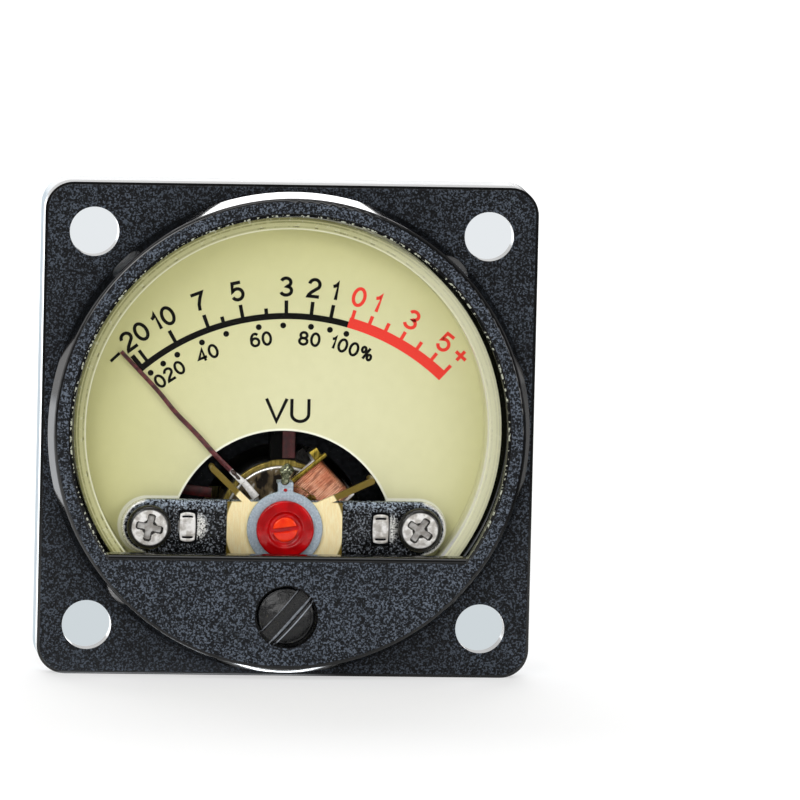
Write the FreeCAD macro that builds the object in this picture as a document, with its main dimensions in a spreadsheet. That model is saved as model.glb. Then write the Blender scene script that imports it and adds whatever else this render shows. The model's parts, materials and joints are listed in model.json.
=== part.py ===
"""Small square analog VU meter with a round window, built as separate pieces.

The frame: X to the right, Z up, the dial faces -Y. The origin is the middle of the four
fixing holes on the back face of the flange, so that face lies in the plane y = 0.
Distances called back and front are measured forward of that plane, towards the viewer.
"""
import FreeCAD
import Part
import Sketcher
import math
import os
from types import SimpleNamespace
from FreeCAD import Placement, Rotation, Vector

# Driving dimensions in millimetres and degrees, each kept in one cell of the sheet.
DIMENSIONS = {
    # clear cover and black bezel
    "flange_side": 35.0,
    "flange_corner": 2.0,
    "hole_pitch": 28.0,
    "hole_bore": 3.5,
    "cover_depth": 3.0,
    "lens_depth": 1.0,
    "cup_wall": 0.5,
    "bezel_depth": 1.5,
    "ring_height": 2.4,
    "ring_foot_radius": 17.22,
    "ring_foot_height": 0.2,
    "ring_foot_ledge": 0.12,
    "ring_wall_height": 1.2,
    "ring_draft": 0.42,
    "ring_edge": 0.3,
    "window_radius": 15.3,
    "window_lip": 1.15,
    "window_lip_setback": 0.18,
    "apron_drop": 8.65,
    # dial and its surround
    "rim_wall": 0.85,
    "rim_ledge_width": 1.4,
    "rim_ledge_depth": 0.4,
    "dial_depth": 0.3,
    "cutout_radius": 8.0,
    "cutout_drop": 1.25,
    "stop_inset": 0.95,
    "left_stop_inset": 0.45,
    "diffuser_depth": 0.4,
    # round case behind the panel
    "case_radius": 15.95,
    "case_wall": 1.05,
    "case_floor": 1.2,
    "case_length": 12.0,
    "case_entry": 0.8,
    "case_neck_step": 0.3,
    "case_relief": 0.5,
    "mouth_gap": 0.35,
    "mouth_depth": 0.4,
    "post_radius": 1.6,
    "post_front": 2.7,
    "post_bore": 0.8,
    "post_gap": 0.15,
    "post_bore_depth": 5.0,
    # fixed parts of the movement
    "pivot_drop": 7.1,
    "bracket_screw_reach": 9.63,
    "bracket_half_height": 1.95,
    "bracket_depth": 0.5,
    "bracket_bore": 0.95,
    "bracket_centre_bore": 1.3,
    "screw_head_radius": 1.6,
    "screw_face_radius": 1.25,
    "screw_head_height": 0.85,
    "screw_shank_radius": 0.75,
    "screw_shank_length": 4.0,
    "left_screw_turn": 12.0,
    "right_screw_turn": 33.0,
    "yoke_gap": 0.2,
    "yoke_wall": 1.8,
    "yoke_front": 0.3,
    "yoke_length": 6.6,
    "stake_width": 1.3,
    "stake_height": 2.4,
    "stake_proud": 0.12,
    "core_gap": 0.15,
    "core_ring_wall": 0.35,
    "core_ring_depth": 0.45,
    "core_arm_width": 1.9,
    "core_arm_reach": 7.0,
    "plate_half_width": 4.1,
    "plate_rise": 1.86,
    "plate_depth": 0.4,
    "boss_radius": 1.3,
    "boss_height": 0.34,
    "stop_arm_width": 0.44,
    "left_stop_angle": -51.0,
    "right_stop_angle": 60.9,
    "stop_tip_back": 1.5,
    # bearings and springs
    "jewel_radius": 0.875,
    "jewel_length": 1.65,
    "jewel_slot": 0.28,
    "front_jewel_turn": -8.0,
    "rear_jewel_turn": 20.0,
    "nut_radius": 2.05,
    "nut_height": 0.4,
    "nut_recess_radius": 1.25,
    "nut_recess": 0.15,
    "pivot_radius": 0.16,
    "spring_inner_radius": 0.65,
    "spring_pitch": 0.52,
    "spring_strip": 0.08,
    "spring_width": 0.3,
    "collet_radius": 0.55,
    "rear_bridge_depth": 0.4,
    "rear_bridge_gap": 1.25,
    # moving coil and pointer
    "rest_angle": -43.7,
    "coil_inner": 4.65,
    "coil_front_gap": 0.2,
    "coil_rear_gap": 0.35,
    "former_wall": 0.1,
    "winding_depth": 0.4,
    "coil_half_width": 1.75,
    "flange_lip": 0.15,
    "seat_depth": 0.25,
    "seat_width": 0.7,
    "seat_reach": 5.2,
    "pointer_depth": 0.15,
    "pointer_start": 4.2,
    "pointer_reach": 17.0,
    "pointer_root_width": 0.5,
    "pointer_tip_width": 0.21,
    "tail_reach": 4.6,
    "tail_weight_radius": 0.55,
    "tail_weight_height": 0.59,
    "side_reach": 3.1,
    "side_weight_radius": 0.34,
    "side_weight_height": 0.35,
    # zero adjustment
    "lever_radius": 2.7,
    "lever_depth": 0.25,
    "lever_tab_width": 1.1,
    "lever_tab_reach": 3.1,
    "lever_tab_back": 2.3,
    "fork_width": 2.0,
    "fork_end_gap": 0.3,
    "zero_drop": 13.0,
    "zero_hole_radius": 2.25,
    "zero_head_radius": 2.05,
    "zero_head_height": 1.1,
    "zero_dome": 0.12,
    "zero_shaft_radius": 0.9,
    "zero_slot_width": 1.1,
    "zero_slot_depth": 0.5,
    "zero_slot_angle": -49.0,
    "crank_radius": 1.25,
    "crank_depth": 0.35,
    "crank_throw": 0.95,
    "crank_pin_radius": 0.3,
    "crank_pin_length": 0.75,
    # lamp and terminals
    "board_depth": 0.8,
    "board_front": -3.2,
    "board_gap": 0.8,
    "lamp_width": 2.0,
    "lamp_height": 1.25,
    "lamp_depth": 0.8,
    "lamp_spacing": 8.0,
    "lamp_rise": 7.0,
    "lamp_pin_reach": 3.0,
    "lamp_pin_rise": 10.5,
    "lamp_pin_radius": 0.4,
    "tag_reach": 10.2,
    "tag_rise": 3.5,
    "tag_width": 2.3,
    "tag_depth": 0.5,
    "tag_inside": 1.6,
    "pin_length": 5.0,
    "lead_radius": 0.15,
    "lead_bend": 0.8,
    "lead_step": 0.9,
    "lead_inset": 1.33,
    "lead_rise": 1.6,
    # clearances
    "slide_gap": 0.1,
    "hair_gap": 0.05,
    "fork_gap": 0.2,
    "dial_gap": 0.3,
}

document = FreeCAD.newDocument("vu_meter")
SHEET = "Sizes"
SPRING_TURNS = 4.0
PIECES = {}


class Size:
    """A number together with its formula, so that geometry follows the cells it came from."""

    def __init__(self, value, text):
        self.value = float(value)
        self.text = text

    def __add__(self, other):
        return Size(self.value + number(other), "(%s + %s)" % (self.text, formula(other)))

    def __radd__(self, other):
        return Size(number(other) + self.value, "(%s + %s)" % (formula(other), self.text))

    def __sub__(self, other):
        return Size(self.value - number(other), "(%s - %s)" % (self.text, formula(other)))

    def __rsub__(self, other):
        return Size(number(other) - self.value, "(%s - %s)" % (formula(other), self.text))

    def __mul__(self, other):
        return Size(self.value * number(other), "(%s * %s)" % (self.text, formula(other)))

    def __rmul__(self, other):
        return self * other

    def __truediv__(self, other):
        return Size(self.value / number(other), "(%s / %s)" % (self.text, formula(other)))

    def __neg__(self):
        return self * -1


def number(size):
    """The plain number of a size."""
    return size.value if isinstance(size, Size) else float(size)


def formula(size):
    """The formula of a size as text."""
    return size.text if isinstance(size, Size) else repr(float(size))


def sine(angle):
    """Sine of an angle in degrees."""
    return Size(math.sin(math.radians(number(angle))), "sin(%s)" % formula(angle))


def cosine(angle):
    """Cosine of an angle in degrees."""
    return Size(math.cos(math.radians(number(angle))), "cos(%s)" % formula(angle))


def root(size):
    """Square root of a size."""
    return Size(math.sqrt(number(size)), "sqrt(%s)" % formula(size))


def fill_sheet():
    """Put each driving dimension into a cell and give the cell its name."""
    sheet = document.addObject("Spreadsheet::Sheet", SHEET)
    for row, (name, value) in enumerate(DIMENSIONS.items(), start=1):
        sheet.set("A%d" % row, name)
        sheet.set("B%d" % row, str(value))
        sheet.setAlias("B%d" % row, name)
    document.recompute()
    return SimpleNamespace(**{name: Size(sheet.get(name), "%s.%s" % (SHEET, name)) for name in DIMENSIONS})


S = fill_sheet()

# Places that several pieces share, measured forward of the panel plane.
panel_face = Size(0.0, "0.0")
flange_front = S.cover_depth + S.bezel_depth
ring_front = flange_front + S.ring_height
lens_front = ring_front - S.window_lip - S.hair_gap
lens_back = lens_front - S.lens_depth
rim_radius = S.window_radius - S.slide_gap
rim_front = lens_back - S.slide_gap
dial_back = S.case_entry + S.rim_ledge_depth
dial_front = dial_back + S.dial_depth
bracket_back = S.post_front
bracket_front = bracket_back + S.bracket_depth
plate_front = bracket_front + S.plate_depth
lever_back = plate_front + S.hair_gap
lever_front = lever_back + S.lever_depth
nut_back = plate_front + S.boss_height
yoke_back = S.yoke_front - S.yoke_length
core_front = S.yoke_front + S.core_ring_depth
crossing_back = core_front + S.coil_front_gap
winding_back = crossing_back + S.former_wall
winding_front = winding_back + S.winding_depth
seat_back = winding_front + S.former_wall
seat_front = seat_back + S.seat_depth
pointer_front = seat_front + S.pointer_depth
tail_crossing = yoke_back - S.coil_rear_gap
coil_rear = tail_crossing - S.former_wall - S.winding_depth - S.former_wall
rear_bridge_front = coil_rear - S.rear_bridge_gap + S.rear_bridge_depth
rear_bridge_back = rear_bridge_front - S.rear_bridge_depth
case_back = -S.case_length
floor_front = case_back + S.case_floor
neck_radius = S.case_radius - S.case_neck_step
spring_back = S.lever_tab_back
rear_spring_back = (coil_rear + rear_bridge_front - S.spring_width) / 2
lip_half_length = S.coil_inner + S.former_wall * 2 + S.winding_depth
lip_half_width = S.coil_half_width + S.flange_lip
yoke_inner_radius = root(lip_half_length * lip_half_length + lip_half_width * lip_half_width) + S.yoke_gap
yoke_outer_radius = yoke_inner_radius + S.yoke_wall
stake_reach = yoke_inner_radius + S.yoke_wall * 0.6
core_ring_radius = S.coil_inner - S.core_gap
core_radius = core_ring_radius - S.core_ring_wall
stop_radius = S.cutout_radius - S.stop_inset
post_slot_radius = S.post_radius + S.post_gap
screw_distance = S.zero_drop - S.pivot_drop
spring_end_radius = S.lever_tab_reach - S.spring_strip / 2


# Helpers: places, sketches, features and primitives.

def tie(item, name, size):
    """Set one property, bound to its formula where it has one."""
    if isinstance(size, Size):
        item.setExpression(name, size.text)
    else:
        setattr(item, name, float(size))


def stand(item, across=0.0, forward=0.0, up=0.0, turn=0.0, facing=None):
    """Place an item; turn is clockwise as the viewer sees it, in degrees."""
    rotation = facing or Rotation(Vector(0, 1, 0), number(turn))
    item.Placement = Placement(Vector(number(across), -number(forward), number(up)), rotation)
    for axis, size in (("x", across), ("y", forward * -1), ("z", up)):
        if isinstance(size, Size):
            item.setExpression("Placement.Base." + axis, size.text)
    if isinstance(turn, Size):
        item.setExpression("Placement.Rotation.Angle", "abs(%s)" % turn.text)
        axis = Vector(0, math.copysign(1, turn.value), 0)
        item.Placement = Placement(item.Placement.Base, Rotation(axis, abs(turn.value)))
    return item


def finish(item, label, across=0.0, forward=0.0, up=0.0, turn=0.0):
    """Give a sub-part its label and its place, and keep it for export."""
    item.Label = label
    stand(item, across, forward, up, turn)
    PIECES[label] = item
    return item


def at_pivot(item, label, turn=0.0):
    """Finish a sub-part that is built round the movement's axis."""
    return finish(item, label, up=-S.pivot_drop, turn=turn)


def new_body(name):
    """An empty body."""
    return document.addObject("PartDesign::Body", name + "_body")


def new_sketch(body, role="XZ_Plane", lift=0.0):
    """A sketch on one of the body's own planes, lifted off it."""
    plane = next(item for item in body.Origin.OriginFeatures if item.Role == role)
    sketch = body.newObject("Sketcher::SketchObject", body.Name + "_sketch")
    sketch.AttachmentSupport = (plane, [""])
    sketch.MapMode = "FlatFace"
    if isinstance(lift, Size):
        sketch.setExpression("AttachmentOffset.Base.z", lift.text)
    return sketch


def hold(sketch, kind, edge, end, size):
    """Hold one distance of a point from the sketch's origin."""
    row = sketch.addConstraint(Sketcher.Constraint(kind, -1, 1, edge, end, number(size)))
    if isinstance(size, Size):
        sketch.setExpression("Constraints[%d]" % row, size.text)


def add_circle(sketch, radius, across=0.0, up=0.0):
    """A circle held by its centre and radius."""
    centre = Vector(number(across), number(up), 0)
    edge = sketch.addGeometry(Part.Circle(centre, Vector(0, 0, 1), number(radius)), False)
    hold(sketch, "DistanceX", edge, 3, across)
    hold(sketch, "DistanceY", edge, 3, up)
    row = sketch.addConstraint(Sketcher.Constraint("Radius", edge, number(radius)))
    if isinstance(radius, Size):
        sketch.setExpression("Constraints[%d]" % row, radius.text)


def add_outline(sketch, corners):
    """A closed outline of straight edges, each corner held by its two distances."""
    first = sketch.GeometryCount
    count = len(corners)
    points = [Vector(number(across), number(up), 0) for across, up in corners]
    for index in range(count):
        sketch.addGeometry(Part.LineSegment(points[index], points[(index + 1) % count]), False)
    for index, (across, up) in enumerate(corners):
        before = first + (index - 1) % count
        sketch.addConstraint(Sketcher.Constraint("Coincident", before, 2, first + index, 1))
        hold(sketch, "DistanceX", first + index, 1, across)
        hold(sketch, "DistanceY", first + index, 1, up)


def box_corners(left, right, bottom, top):
    """Four corners of an upright rectangle."""
    return [(left, bottom), (right, bottom), (right, top), (left, top)]


def add_feature(body, kind, sketch, depth=None):
    """A pad or pocket on a sketch."""
    feature = body.newObject("PartDesign::" + kind, body.Name + "_" + kind.lower())
    feature.Profile = sketch
    if depth is not None:
        tie(feature, "Length", depth)
    sketch.Visibility = False
    return feature


def pad_circle(body, radius, back, front, across=0.0, up=0.0):
    """A round pad from back to front."""
    sketch = new_sketch(body, lift=back)
    add_circle(sketch, radius, across, up)
    return add_feature(body, "Pad", sketch, front - back)


def pad_outline(body, corners, back, front):
    """A straight-edged pad from back to front."""
    sketch = new_sketch(body, lift=back)
    add_outline(sketch, corners)
    return add_feature(body, "Pad", sketch, front - back)


def cut_forward(body, sketch, depth):
    """A pocket that cuts towards the viewer from its sketch."""
    feature = add_feature(body, "Pocket", sketch, depth)
    feature.Reversed = True
    return feature


def cut_circle(body, radius, back, front, across=0.0, up=0.0):
    """A round pocket from back to front."""
    sketch = new_sketch(body, lift=back)
    add_circle(sketch, radius, across, up)
    return cut_forward(body, sketch, front - back)


def cut_outline(body, corners, back, front):
    """A straight-edged pocket from back to front."""
    sketch = new_sketch(body, lift=back)
    add_outline(sketch, corners)
    return cut_forward(body, sketch, front - back)


def revolve(body, profile):
    """Turn a profile of (radius, forward) points round the body's own Y axis."""
    sketch = new_sketch(body, "XY_Plane")
    add_outline(sketch, [(radius, forward * -1) for radius, forward in profile])
    feature = body.newObject("PartDesign::Revolution", body.Name + "_revolution")
    feature.Profile = sketch
    feature.ReferenceAxis = (sketch, ["V_Axis"])
    feature.Angle = 360.0
    return feature


def round_edges(body, feature, radius, wanted):
    """Round those edges of a feature that the test picks."""
    document.recompute()
    edges = enumerate(feature.Shape.Edges, start=1)
    names = ["Edge%d" % index for index, edge in edges if wanted(edge)]
    if not names:
        raise RuntimeError("no edge to round on " + feature.Name)
    rounding = body.newObject("PartDesign::Fillet", body.Name + "_rounding")
    rounding.Base = (feature, names)
    tie(rounding, "Radius", radius)
    return rounding


def runs_forward(edge):
    """Whether an edge is straight and runs from back to front."""
    start, end = edge.Vertexes[0].Point, edge.Vertexes[-1].Point
    return abs(start.x - end.x) + abs(start.z - end.z) < 1e-6 and abs(start.y - end.y) > 1e-6


def rod(name, radius, back, front, across=0.0, up=0.0):
    """A round bar that stands forward."""
    item = document.addObject("Part::Cylinder", name)
    tie(item, "Radius", radius)
    tie(item, "Height", front - back)
    return stand(item, across, back, up, facing=Rotation(Vector(1, 0, 0), 90))


def taper(name, back_radius, front_radius, back, front):
    """A cone on the axis, one radius at the back and one at the front."""
    item = document.addObject("Part::Cone", name)
    tie(item, "Radius1", back_radius)
    tie(item, "Radius2", front_radius)
    tie(item, "Height", front - back)
    return stand(item, forward=back, facing=Rotation(Vector(1, 0, 0), 90))


def block(name, left, right, back, front, bottom, top):
    """An upright block between its six sides."""
    item = document.addObject("Part::Box", name)
    tie(item, "Length", right - left)
    tie(item, "Width", front - back)
    tie(item, "Height", top - bottom)
    return stand(item, left, front, bottom)


def fuse(name, *items):
    """Several solids joined into one."""
    item = document.addObject("Part::MultiFuse", name)
    item.Shapes = list(items)
    return item


def cut(name, base, *tools):
    """One solid less others."""
    item = document.addObject("Part::Cut", name)
    item.Base = base
    item.Tool = tools[0] if len(tools) == 1 else fuse(name + "_tools", *tools)
    return item


def group(name, *items):
    """Separate solids kept together in one sub-part."""
    item = document.addObject("Part::Compound", name)
    item.Links = list(items)
    return item


def four_corners(reach):
    """The four (across, up) places at one reach from the middle."""
    return [(reach * right, reach * up) for right in (-1, 1) for up in (-1, 1)]


def square_flange(body, back, front):
    """The square flange with rounded corners."""
    half = S.flange_side / 2
    plate = pad_outline(body, box_corners(-half, half, -half, half), back, front)
    return round_edges(body, plate, S.flange_corner, runs_forward)


def fixing_holes(body, back, front):
    """The four fixing holes, on one square."""
    sketch = new_sketch(body, lift=back)
    for across, up in four_corners(S.hole_pitch / 2):
        add_circle(sketch, S.hole_bore / 2, across, up)
    return cut_forward(body, sketch, front - back)


# Casings

def make_clear_cover():
    """Clear flange with a cup that carries the lens; the rear bore takes the case's neck.

    The mouth of that bore is wider than the case, so the flange's back lies flat on a panel.
    """
    body = new_body("clear_cover")
    cup_radius = S.window_radius + S.cup_wall
    square_flange(body, panel_face, S.cover_depth)
    pad_circle(body, cup_radius, S.cover_depth, lens_front)
    cut_circle(body, S.window_radius, panel_face, lens_back)
    cut_circle(body, neck_radius + S.slide_gap, panel_face, S.case_entry + S.slide_gap)
    cut_circle(body, S.case_radius + S.mouth_gap, panel_face, S.mouth_depth)
    cut_circle(body, S.zero_shaft_radius + S.slide_gap, lens_back, lens_front, up=-S.zero_drop)
    fixing_holes(body, panel_face, S.cover_depth)
    finish(body, "clear_cover")


def make_front_bezel():
    """Black flange, raised ring with a polished slope, and the apron over the lower window.

    The ring rises straight from its foot and then leans in, up to a rounded front edge.
    """
    body = new_body("front_bezel")
    cup_bore = S.window_radius + S.cup_wall + S.slide_gap
    wall_foot = S.ring_foot_radius - S.ring_foot_ledge
    wall_top = wall_foot - S.ring_draft
    lip_radius = S.window_radius + S.window_lip_setback
    lip_back = lens_front + S.hair_gap
    square_flange(body, S.cover_depth, flange_front)
    revolve(body, [
        (cup_bore, flange_front - S.bezel_depth / 2),
        (S.ring_foot_radius, flange_front - S.bezel_depth / 2),
        (S.ring_foot_radius, flange_front + S.ring_foot_height),
        (wall_foot, flange_front + S.ring_foot_height),
        (wall_foot, flange_front + S.ring_wall_height),
        (wall_top, ring_front),
        (lip_radius, ring_front),
        (lip_radius, lip_back),
        (cup_bore, lip_back),
    ])
    ring = cut_circle(body, cup_bore, S.cover_depth, lip_back)
    rim_edge = number(ring_front)
    outer = number(wall_top)
    round_edges(body, ring, S.ring_edge, lambda item: is_circle(item, outer, rim_edge))
    apron = new_sketch(body, lift=lip_back)
    add_apron(apron)
    plate = add_feature(body, "Pad", apron, S.window_lip)
    top = -number(S.apron_drop)
    round_edges(body, plate, S.ring_edge, lambda item: is_apron_edge(item, top, rim_edge))
    cut_circle(body, S.zero_hole_radius, lip_back, ring_front, up=-S.zero_drop)
    fixing_holes(body, S.cover_depth, flange_front)
    finish(body, "front_bezel")


def is_circle(edge, radius, forward):
    """Whether an edge is a circle of this radius at this distance forward."""
    if edge.Curve.TypeId != "Part::GeomCircle":
        return False
    same_size = abs(edge.Curve.Radius - radius) < 1e-4
    return same_size and abs(edge.Curve.Center.y + forward) < 1e-4


def is_apron_edge(edge, up, forward):
    """Whether an edge is the apron's straight upper edge at the front."""
    points = [vertex.Point for vertex in edge.Vertexes]
    straight = edge.Curve.TypeId == "Part::GeomLine"
    return straight and all(abs(p.z - up) < 1e-4 and abs(p.y + forward) < 1e-4 for p in points)


def add_apron(sketch):
    """A chord closed below by an arc that runs a little inside the ring's own metal."""
    radius = S.window_radius + S.cup_wall
    half = root(radius * radius - S.apron_drop * S.apron_drop)
    low = -number(S.apron_drop)
    reach = number(half)
    sketch.addGeometry(Part.LineSegment(Vector(reach, low, 0), Vector(-reach, low, 0)), False)
    start = math.atan2(low, -reach)
    end = math.atan2(low, reach)
    circle = Part.Circle(Vector(0, 0, 0), Vector(0, 0, 1), number(radius))
    sketch.addGeometry(Part.ArcOfCircle(circle, start, end), False)
    sketch.addConstraint(Sketcher.Constraint("Coincident", 0, 2, 1, 1))
    sketch.addConstraint(Sketcher.Constraint("Coincident", 0, 1, 1, 2))
    sketch.addConstraint(Sketcher.Constraint("Coincident", 1, 3, -1, 1))
    hold(sketch, "DistanceX", 0, 1, half)
    hold(sketch, "DistanceY", 0, 1, -S.apron_drop)
    hold(sketch, "DistanceY", 0, 2, -S.apron_drop)


def make_rear_case():
    """Round can with the two posts that carry the movement and the board's two rests."""
    body = new_body("rear_case")
    inner = S.case_radius - S.case_wall
    revolve(body, [
        (0.0, case_back), (S.case_radius, case_back), (S.case_radius, -S.case_relief),
        (neck_radius, -S.case_relief), (neck_radius, S.case_entry),
        (inner, S.case_entry), (inner, floor_front), (0.0, floor_front),
    ])
    for side in (-1, 1):
        across = S.bracket_screw_reach * side
        pad_circle(body, S.post_radius, floor_front, S.post_front, across, -S.pivot_drop)
        bore_back = S.post_front - S.post_bore_depth
        cut_circle(body, S.post_bore, bore_back, S.post_front, across, -S.pivot_drop)
        rest = S.board_front - S.board_depth
        pad_circle(body, S.post_radius * 0.75, floor_front, rest, S.tag_reach * side, S.lamp_rise)
        pin = S.lamp_pin_reach * side
        cut_circle(body, S.lamp_pin_radius, case_back, floor_front, pin, S.lamp_pin_rise)
        cut_outline(body, tag_corners(side), case_back, floor_front)
    finish(body, "rear_case")


def tag_corners(side):
    """Outline of one solder tag where it passes through the floor."""
    middle = S.tag_reach * side
    left = middle - S.tag_depth / 2
    return box_corners(left, left + S.tag_depth, S.tag_rise - S.tag_width, S.tag_rise)


# Dial and lamp

def movement_window(name, back, front):
    """The opening that dial and diffuser leave round the movement and the case's two posts."""
    centre = -S.pivot_drop - S.cutout_drop
    end_radius = post_slot_radius
    reach = S.bracket_screw_reach
    bottom = -S.pivot_drop - end_radius
    top = -S.pivot_drop + end_radius
    parts = [
        rod(name + "_round", S.cutout_radius, back, front, up=centre),
        block(name + "_slot", -reach, reach, back, front, bottom, top),
        rod(name + "_left", end_radius, back, front, -reach, -S.pivot_drop),
        rod(name + "_right", end_radius, back, front, reach, -S.pivot_drop),
    ]
    return fuse(name, *parts)


def make_dial_frame():
    """Pale rim round the dial, with a ledge behind it."""
    body = new_body("dial_frame")
    inner = rim_radius - S.rim_wall
    ledge = rim_radius - S.rim_ledge_width
    revolve(body, [
        (ledge, S.case_entry), (rim_radius, S.case_entry), (rim_radius, rim_front),
        (inner, rim_front), (inner, dial_back), (ledge, dial_back),
    ])
    finish(body, "dial_frame")


def make_dial_plate():
    """Printed dial, held between the ledge and the rim's wall."""
    disc = rod("dial_disc", rim_radius - S.rim_wall - S.slide_gap, dial_back, dial_front)
    window = movement_window("dial_window", dial_back, dial_front)
    finish(cut("dial", disc, window), "dial_plate")


def make_diffuser():
    """Milky plate just behind the dial, ending above the posts."""
    radius = rim_radius - S.rim_ledge_width - S.slide_gap
    back = dial_back - S.diffuser_depth
    disc = rod("diffuser_disc", radius, back, dial_back)
    window = movement_window("diffuser_window", back, dial_back)
    low = -S.pivot_drop + post_slot_radius
    foot = block("diffuser_foot", -radius, radius, back, dial_back, -radius, low)
    finish(cut("diffuser_plate", disc, window, foot), "diffuser")


def make_lamp_board():
    """Board above the movement: a disc cut off below by a chord."""
    radius = S.case_radius - S.case_wall - S.dial_gap
    back = S.board_front - S.board_depth
    disc = rod("board_disc", radius, back, S.board_front)
    chord = yoke_outer_radius - S.pivot_drop + S.board_gap
    below = block("board_chord", -radius, radius, back, S.board_front, -radius, chord)
    pins = [
        rod("board_hole_%d" % index, S.lamp_pin_radius, back, S.board_front, reach, S.lamp_pin_rise)
        for index, reach in enumerate((-S.lamp_pin_reach, S.lamp_pin_reach))
    ]
    finish(cut("board", disc, below, *pins), "lamp_board")


def make_lamp_leds():
    """Three small lamps on the board's face."""
    lamps = []
    for step in (-1, 0, 1):
        left = S.lamp_spacing * step - S.lamp_width / 2
        low = S.lamp_rise - S.lamp_height / 2
        front = S.board_front + S.lamp_depth
        name = "lamp_%d" % (step + 2)
        lamps.append(block(name, left, left + S.lamp_width, S.board_front, front, low, low + S.lamp_height))
    finish(group("lamps", *lamps), "lamp_leds")


def make_lamp_terminals():
    """Two round pins from the board out through the floor."""
    tip = case_back - S.pin_length
    pins = [
        rod("lamp_pin_%d" % index, S.lamp_pin_radius, tip, S.board_front, reach, S.lamp_pin_rise)
        for index, reach in enumerate((-S.lamp_pin_reach, S.lamp_pin_reach))
    ]
    finish(group("lamp_pins", *pins), "lamp_terminals")


def make_signal_terminals():
    """Two flat solder tags, each with an eye near its end."""
    tags = []
    for side in (-1, 1):
        body = new_body("tag")
        tip = case_back - S.pin_length
        pad_outline(body, tag_corners(side), tip, floor_front + S.tag_inside)
        eye = new_sketch(body, "YZ_Plane")
        middle = S.tag_width / 2
        add_circle(eye, middle / 2, S.case_length + S.pin_length - middle, S.tag_rise - middle)
        hole = add_feature(body, "Pocket", eye)
        hole.Type = "ThroughAll"
        hole.Midplane = True
        tags.append(body)
    finish(group("tags", *tags), "signal_terminals")


# Fixed parts of the movement, each built round the movement's axis

def make_front_bracket():
    """Plated strip with round ends, bored for its screws, the bearing and the yoke's stakes."""
    body = new_body("front_bracket")
    reach = S.bracket_screw_reach
    height = S.bracket_half_height
    pad_outline(body, box_corners(-reach, reach, -height, height), bracket_back, bracket_front)
    for side in (-1, 1):
        pad_circle(body, height, bracket_back, bracket_front, reach * side)
        cut_circle(body, S.bracket_bore, bracket_back, bracket_front, reach * side)
        cut_outline(body, stake_corners(side, S.hair_gap), bracket_back, bracket_front)
    cut_circle(body, S.bracket_centre_bore, bracket_back, bracket_front)
    at_pivot(body, "front_bracket")


def stake_corners(side, clearance):
    """Outline of one of the yoke's stakes, widened by a clearance."""
    middle = stake_reach * side
    half_width = S.stake_width / 2 + clearance
    half_height = S.stake_height / 2 + clearance
    return box_corners(middle - half_width, middle + half_width, -half_height, half_height)


def make_bracket_screws():
    """Two cross-slotted screws, turned as they were left after tightening."""
    screws = []
    for side, angle in ((-1, S.left_screw_turn), (1, S.right_screw_turn)):
        name = "screw_%d" % (side + 1)
        shoulder = bracket_front + S.screw_head_height * 0.55
        top = bracket_front + S.screw_head_height
        solid = fuse(
            name + "_solid",
            rod(name + "_shank", S.screw_shank_radius, bracket_front - S.screw_shank_length, bracket_front),
            rod(name + "_head", S.screw_head_radius, bracket_front, shoulder),
            taper(name + "_crown", S.screw_head_radius, S.screw_face_radius, shoulder, top),
        )
        arm = S.screw_face_radius * 0.8
        half = S.screw_face_radius * 0.16
        low = top - S.screw_head_height * 0.6
        recess = fuse(
            name + "_cross",
            block(name + "_cross_wide", -arm, arm, low, top, -half, half),
            block(name + "_cross_tall", -half, half, low, top, -arm, arm),
        )
        screw = cut(name, solid, recess)
        screws.append(stand(screw, S.bracket_screw_reach * side, turn=angle))
    at_pivot(group("screws", *screws), "bracket_screws")


def make_yoke_ring():
    """Soft iron return ring with the two stakes that hold it to the bracket."""
    body = new_body("yoke_ring")
    pad_circle(body, yoke_outer_radius, yoke_back, S.yoke_front)
    cut_circle(body, yoke_inner_radius, yoke_back, S.yoke_front)
    for side in (-1, 1):
        stake_front = bracket_front + S.stake_proud
        pad_outline(body, stake_corners(side, 0), S.yoke_front - S.stake_width, stake_front)
    at_pivot(body, "yoke_ring")


def make_core():
    """Magnet core and the brass ring whose two arms lie on the yoke's front face."""
    magnet = rod("magnet", core_radius, yoke_back, core_front - S.hair_gap)
    at_pivot(group("magnet_core", magnet), "core_magnet")
    body = new_body("core_frame")
    pad_circle(body, core_ring_radius, S.yoke_front, core_front)
    half = S.core_arm_width / 2
    reach = S.core_arm_reach
    pad_outline(body, box_corners(-half, half, -reach, reach), S.yoke_front, core_front)
    cut_circle(body, core_radius, S.yoke_front, core_front)
    at_pivot(body, "core_frame")


def bar_corners(start, end, width):
    """Four corners of a straight bar between two points, as sizes."""
    run = (end[0] - start[0], end[1] - start[1])
    length = root(run[0] * run[0] + run[1] * run[1])
    side = (run[1] / length * width / 2, -run[0] / length * width / 2)
    return [
        (start[0] + side[0], start[1] + side[1]), (end[0] + side[0], end[1] + side[1]),
        (end[0] - side[0], end[1] - side[1]), (start[0] - side[0], start[1] - side[1]),
    ]


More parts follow.
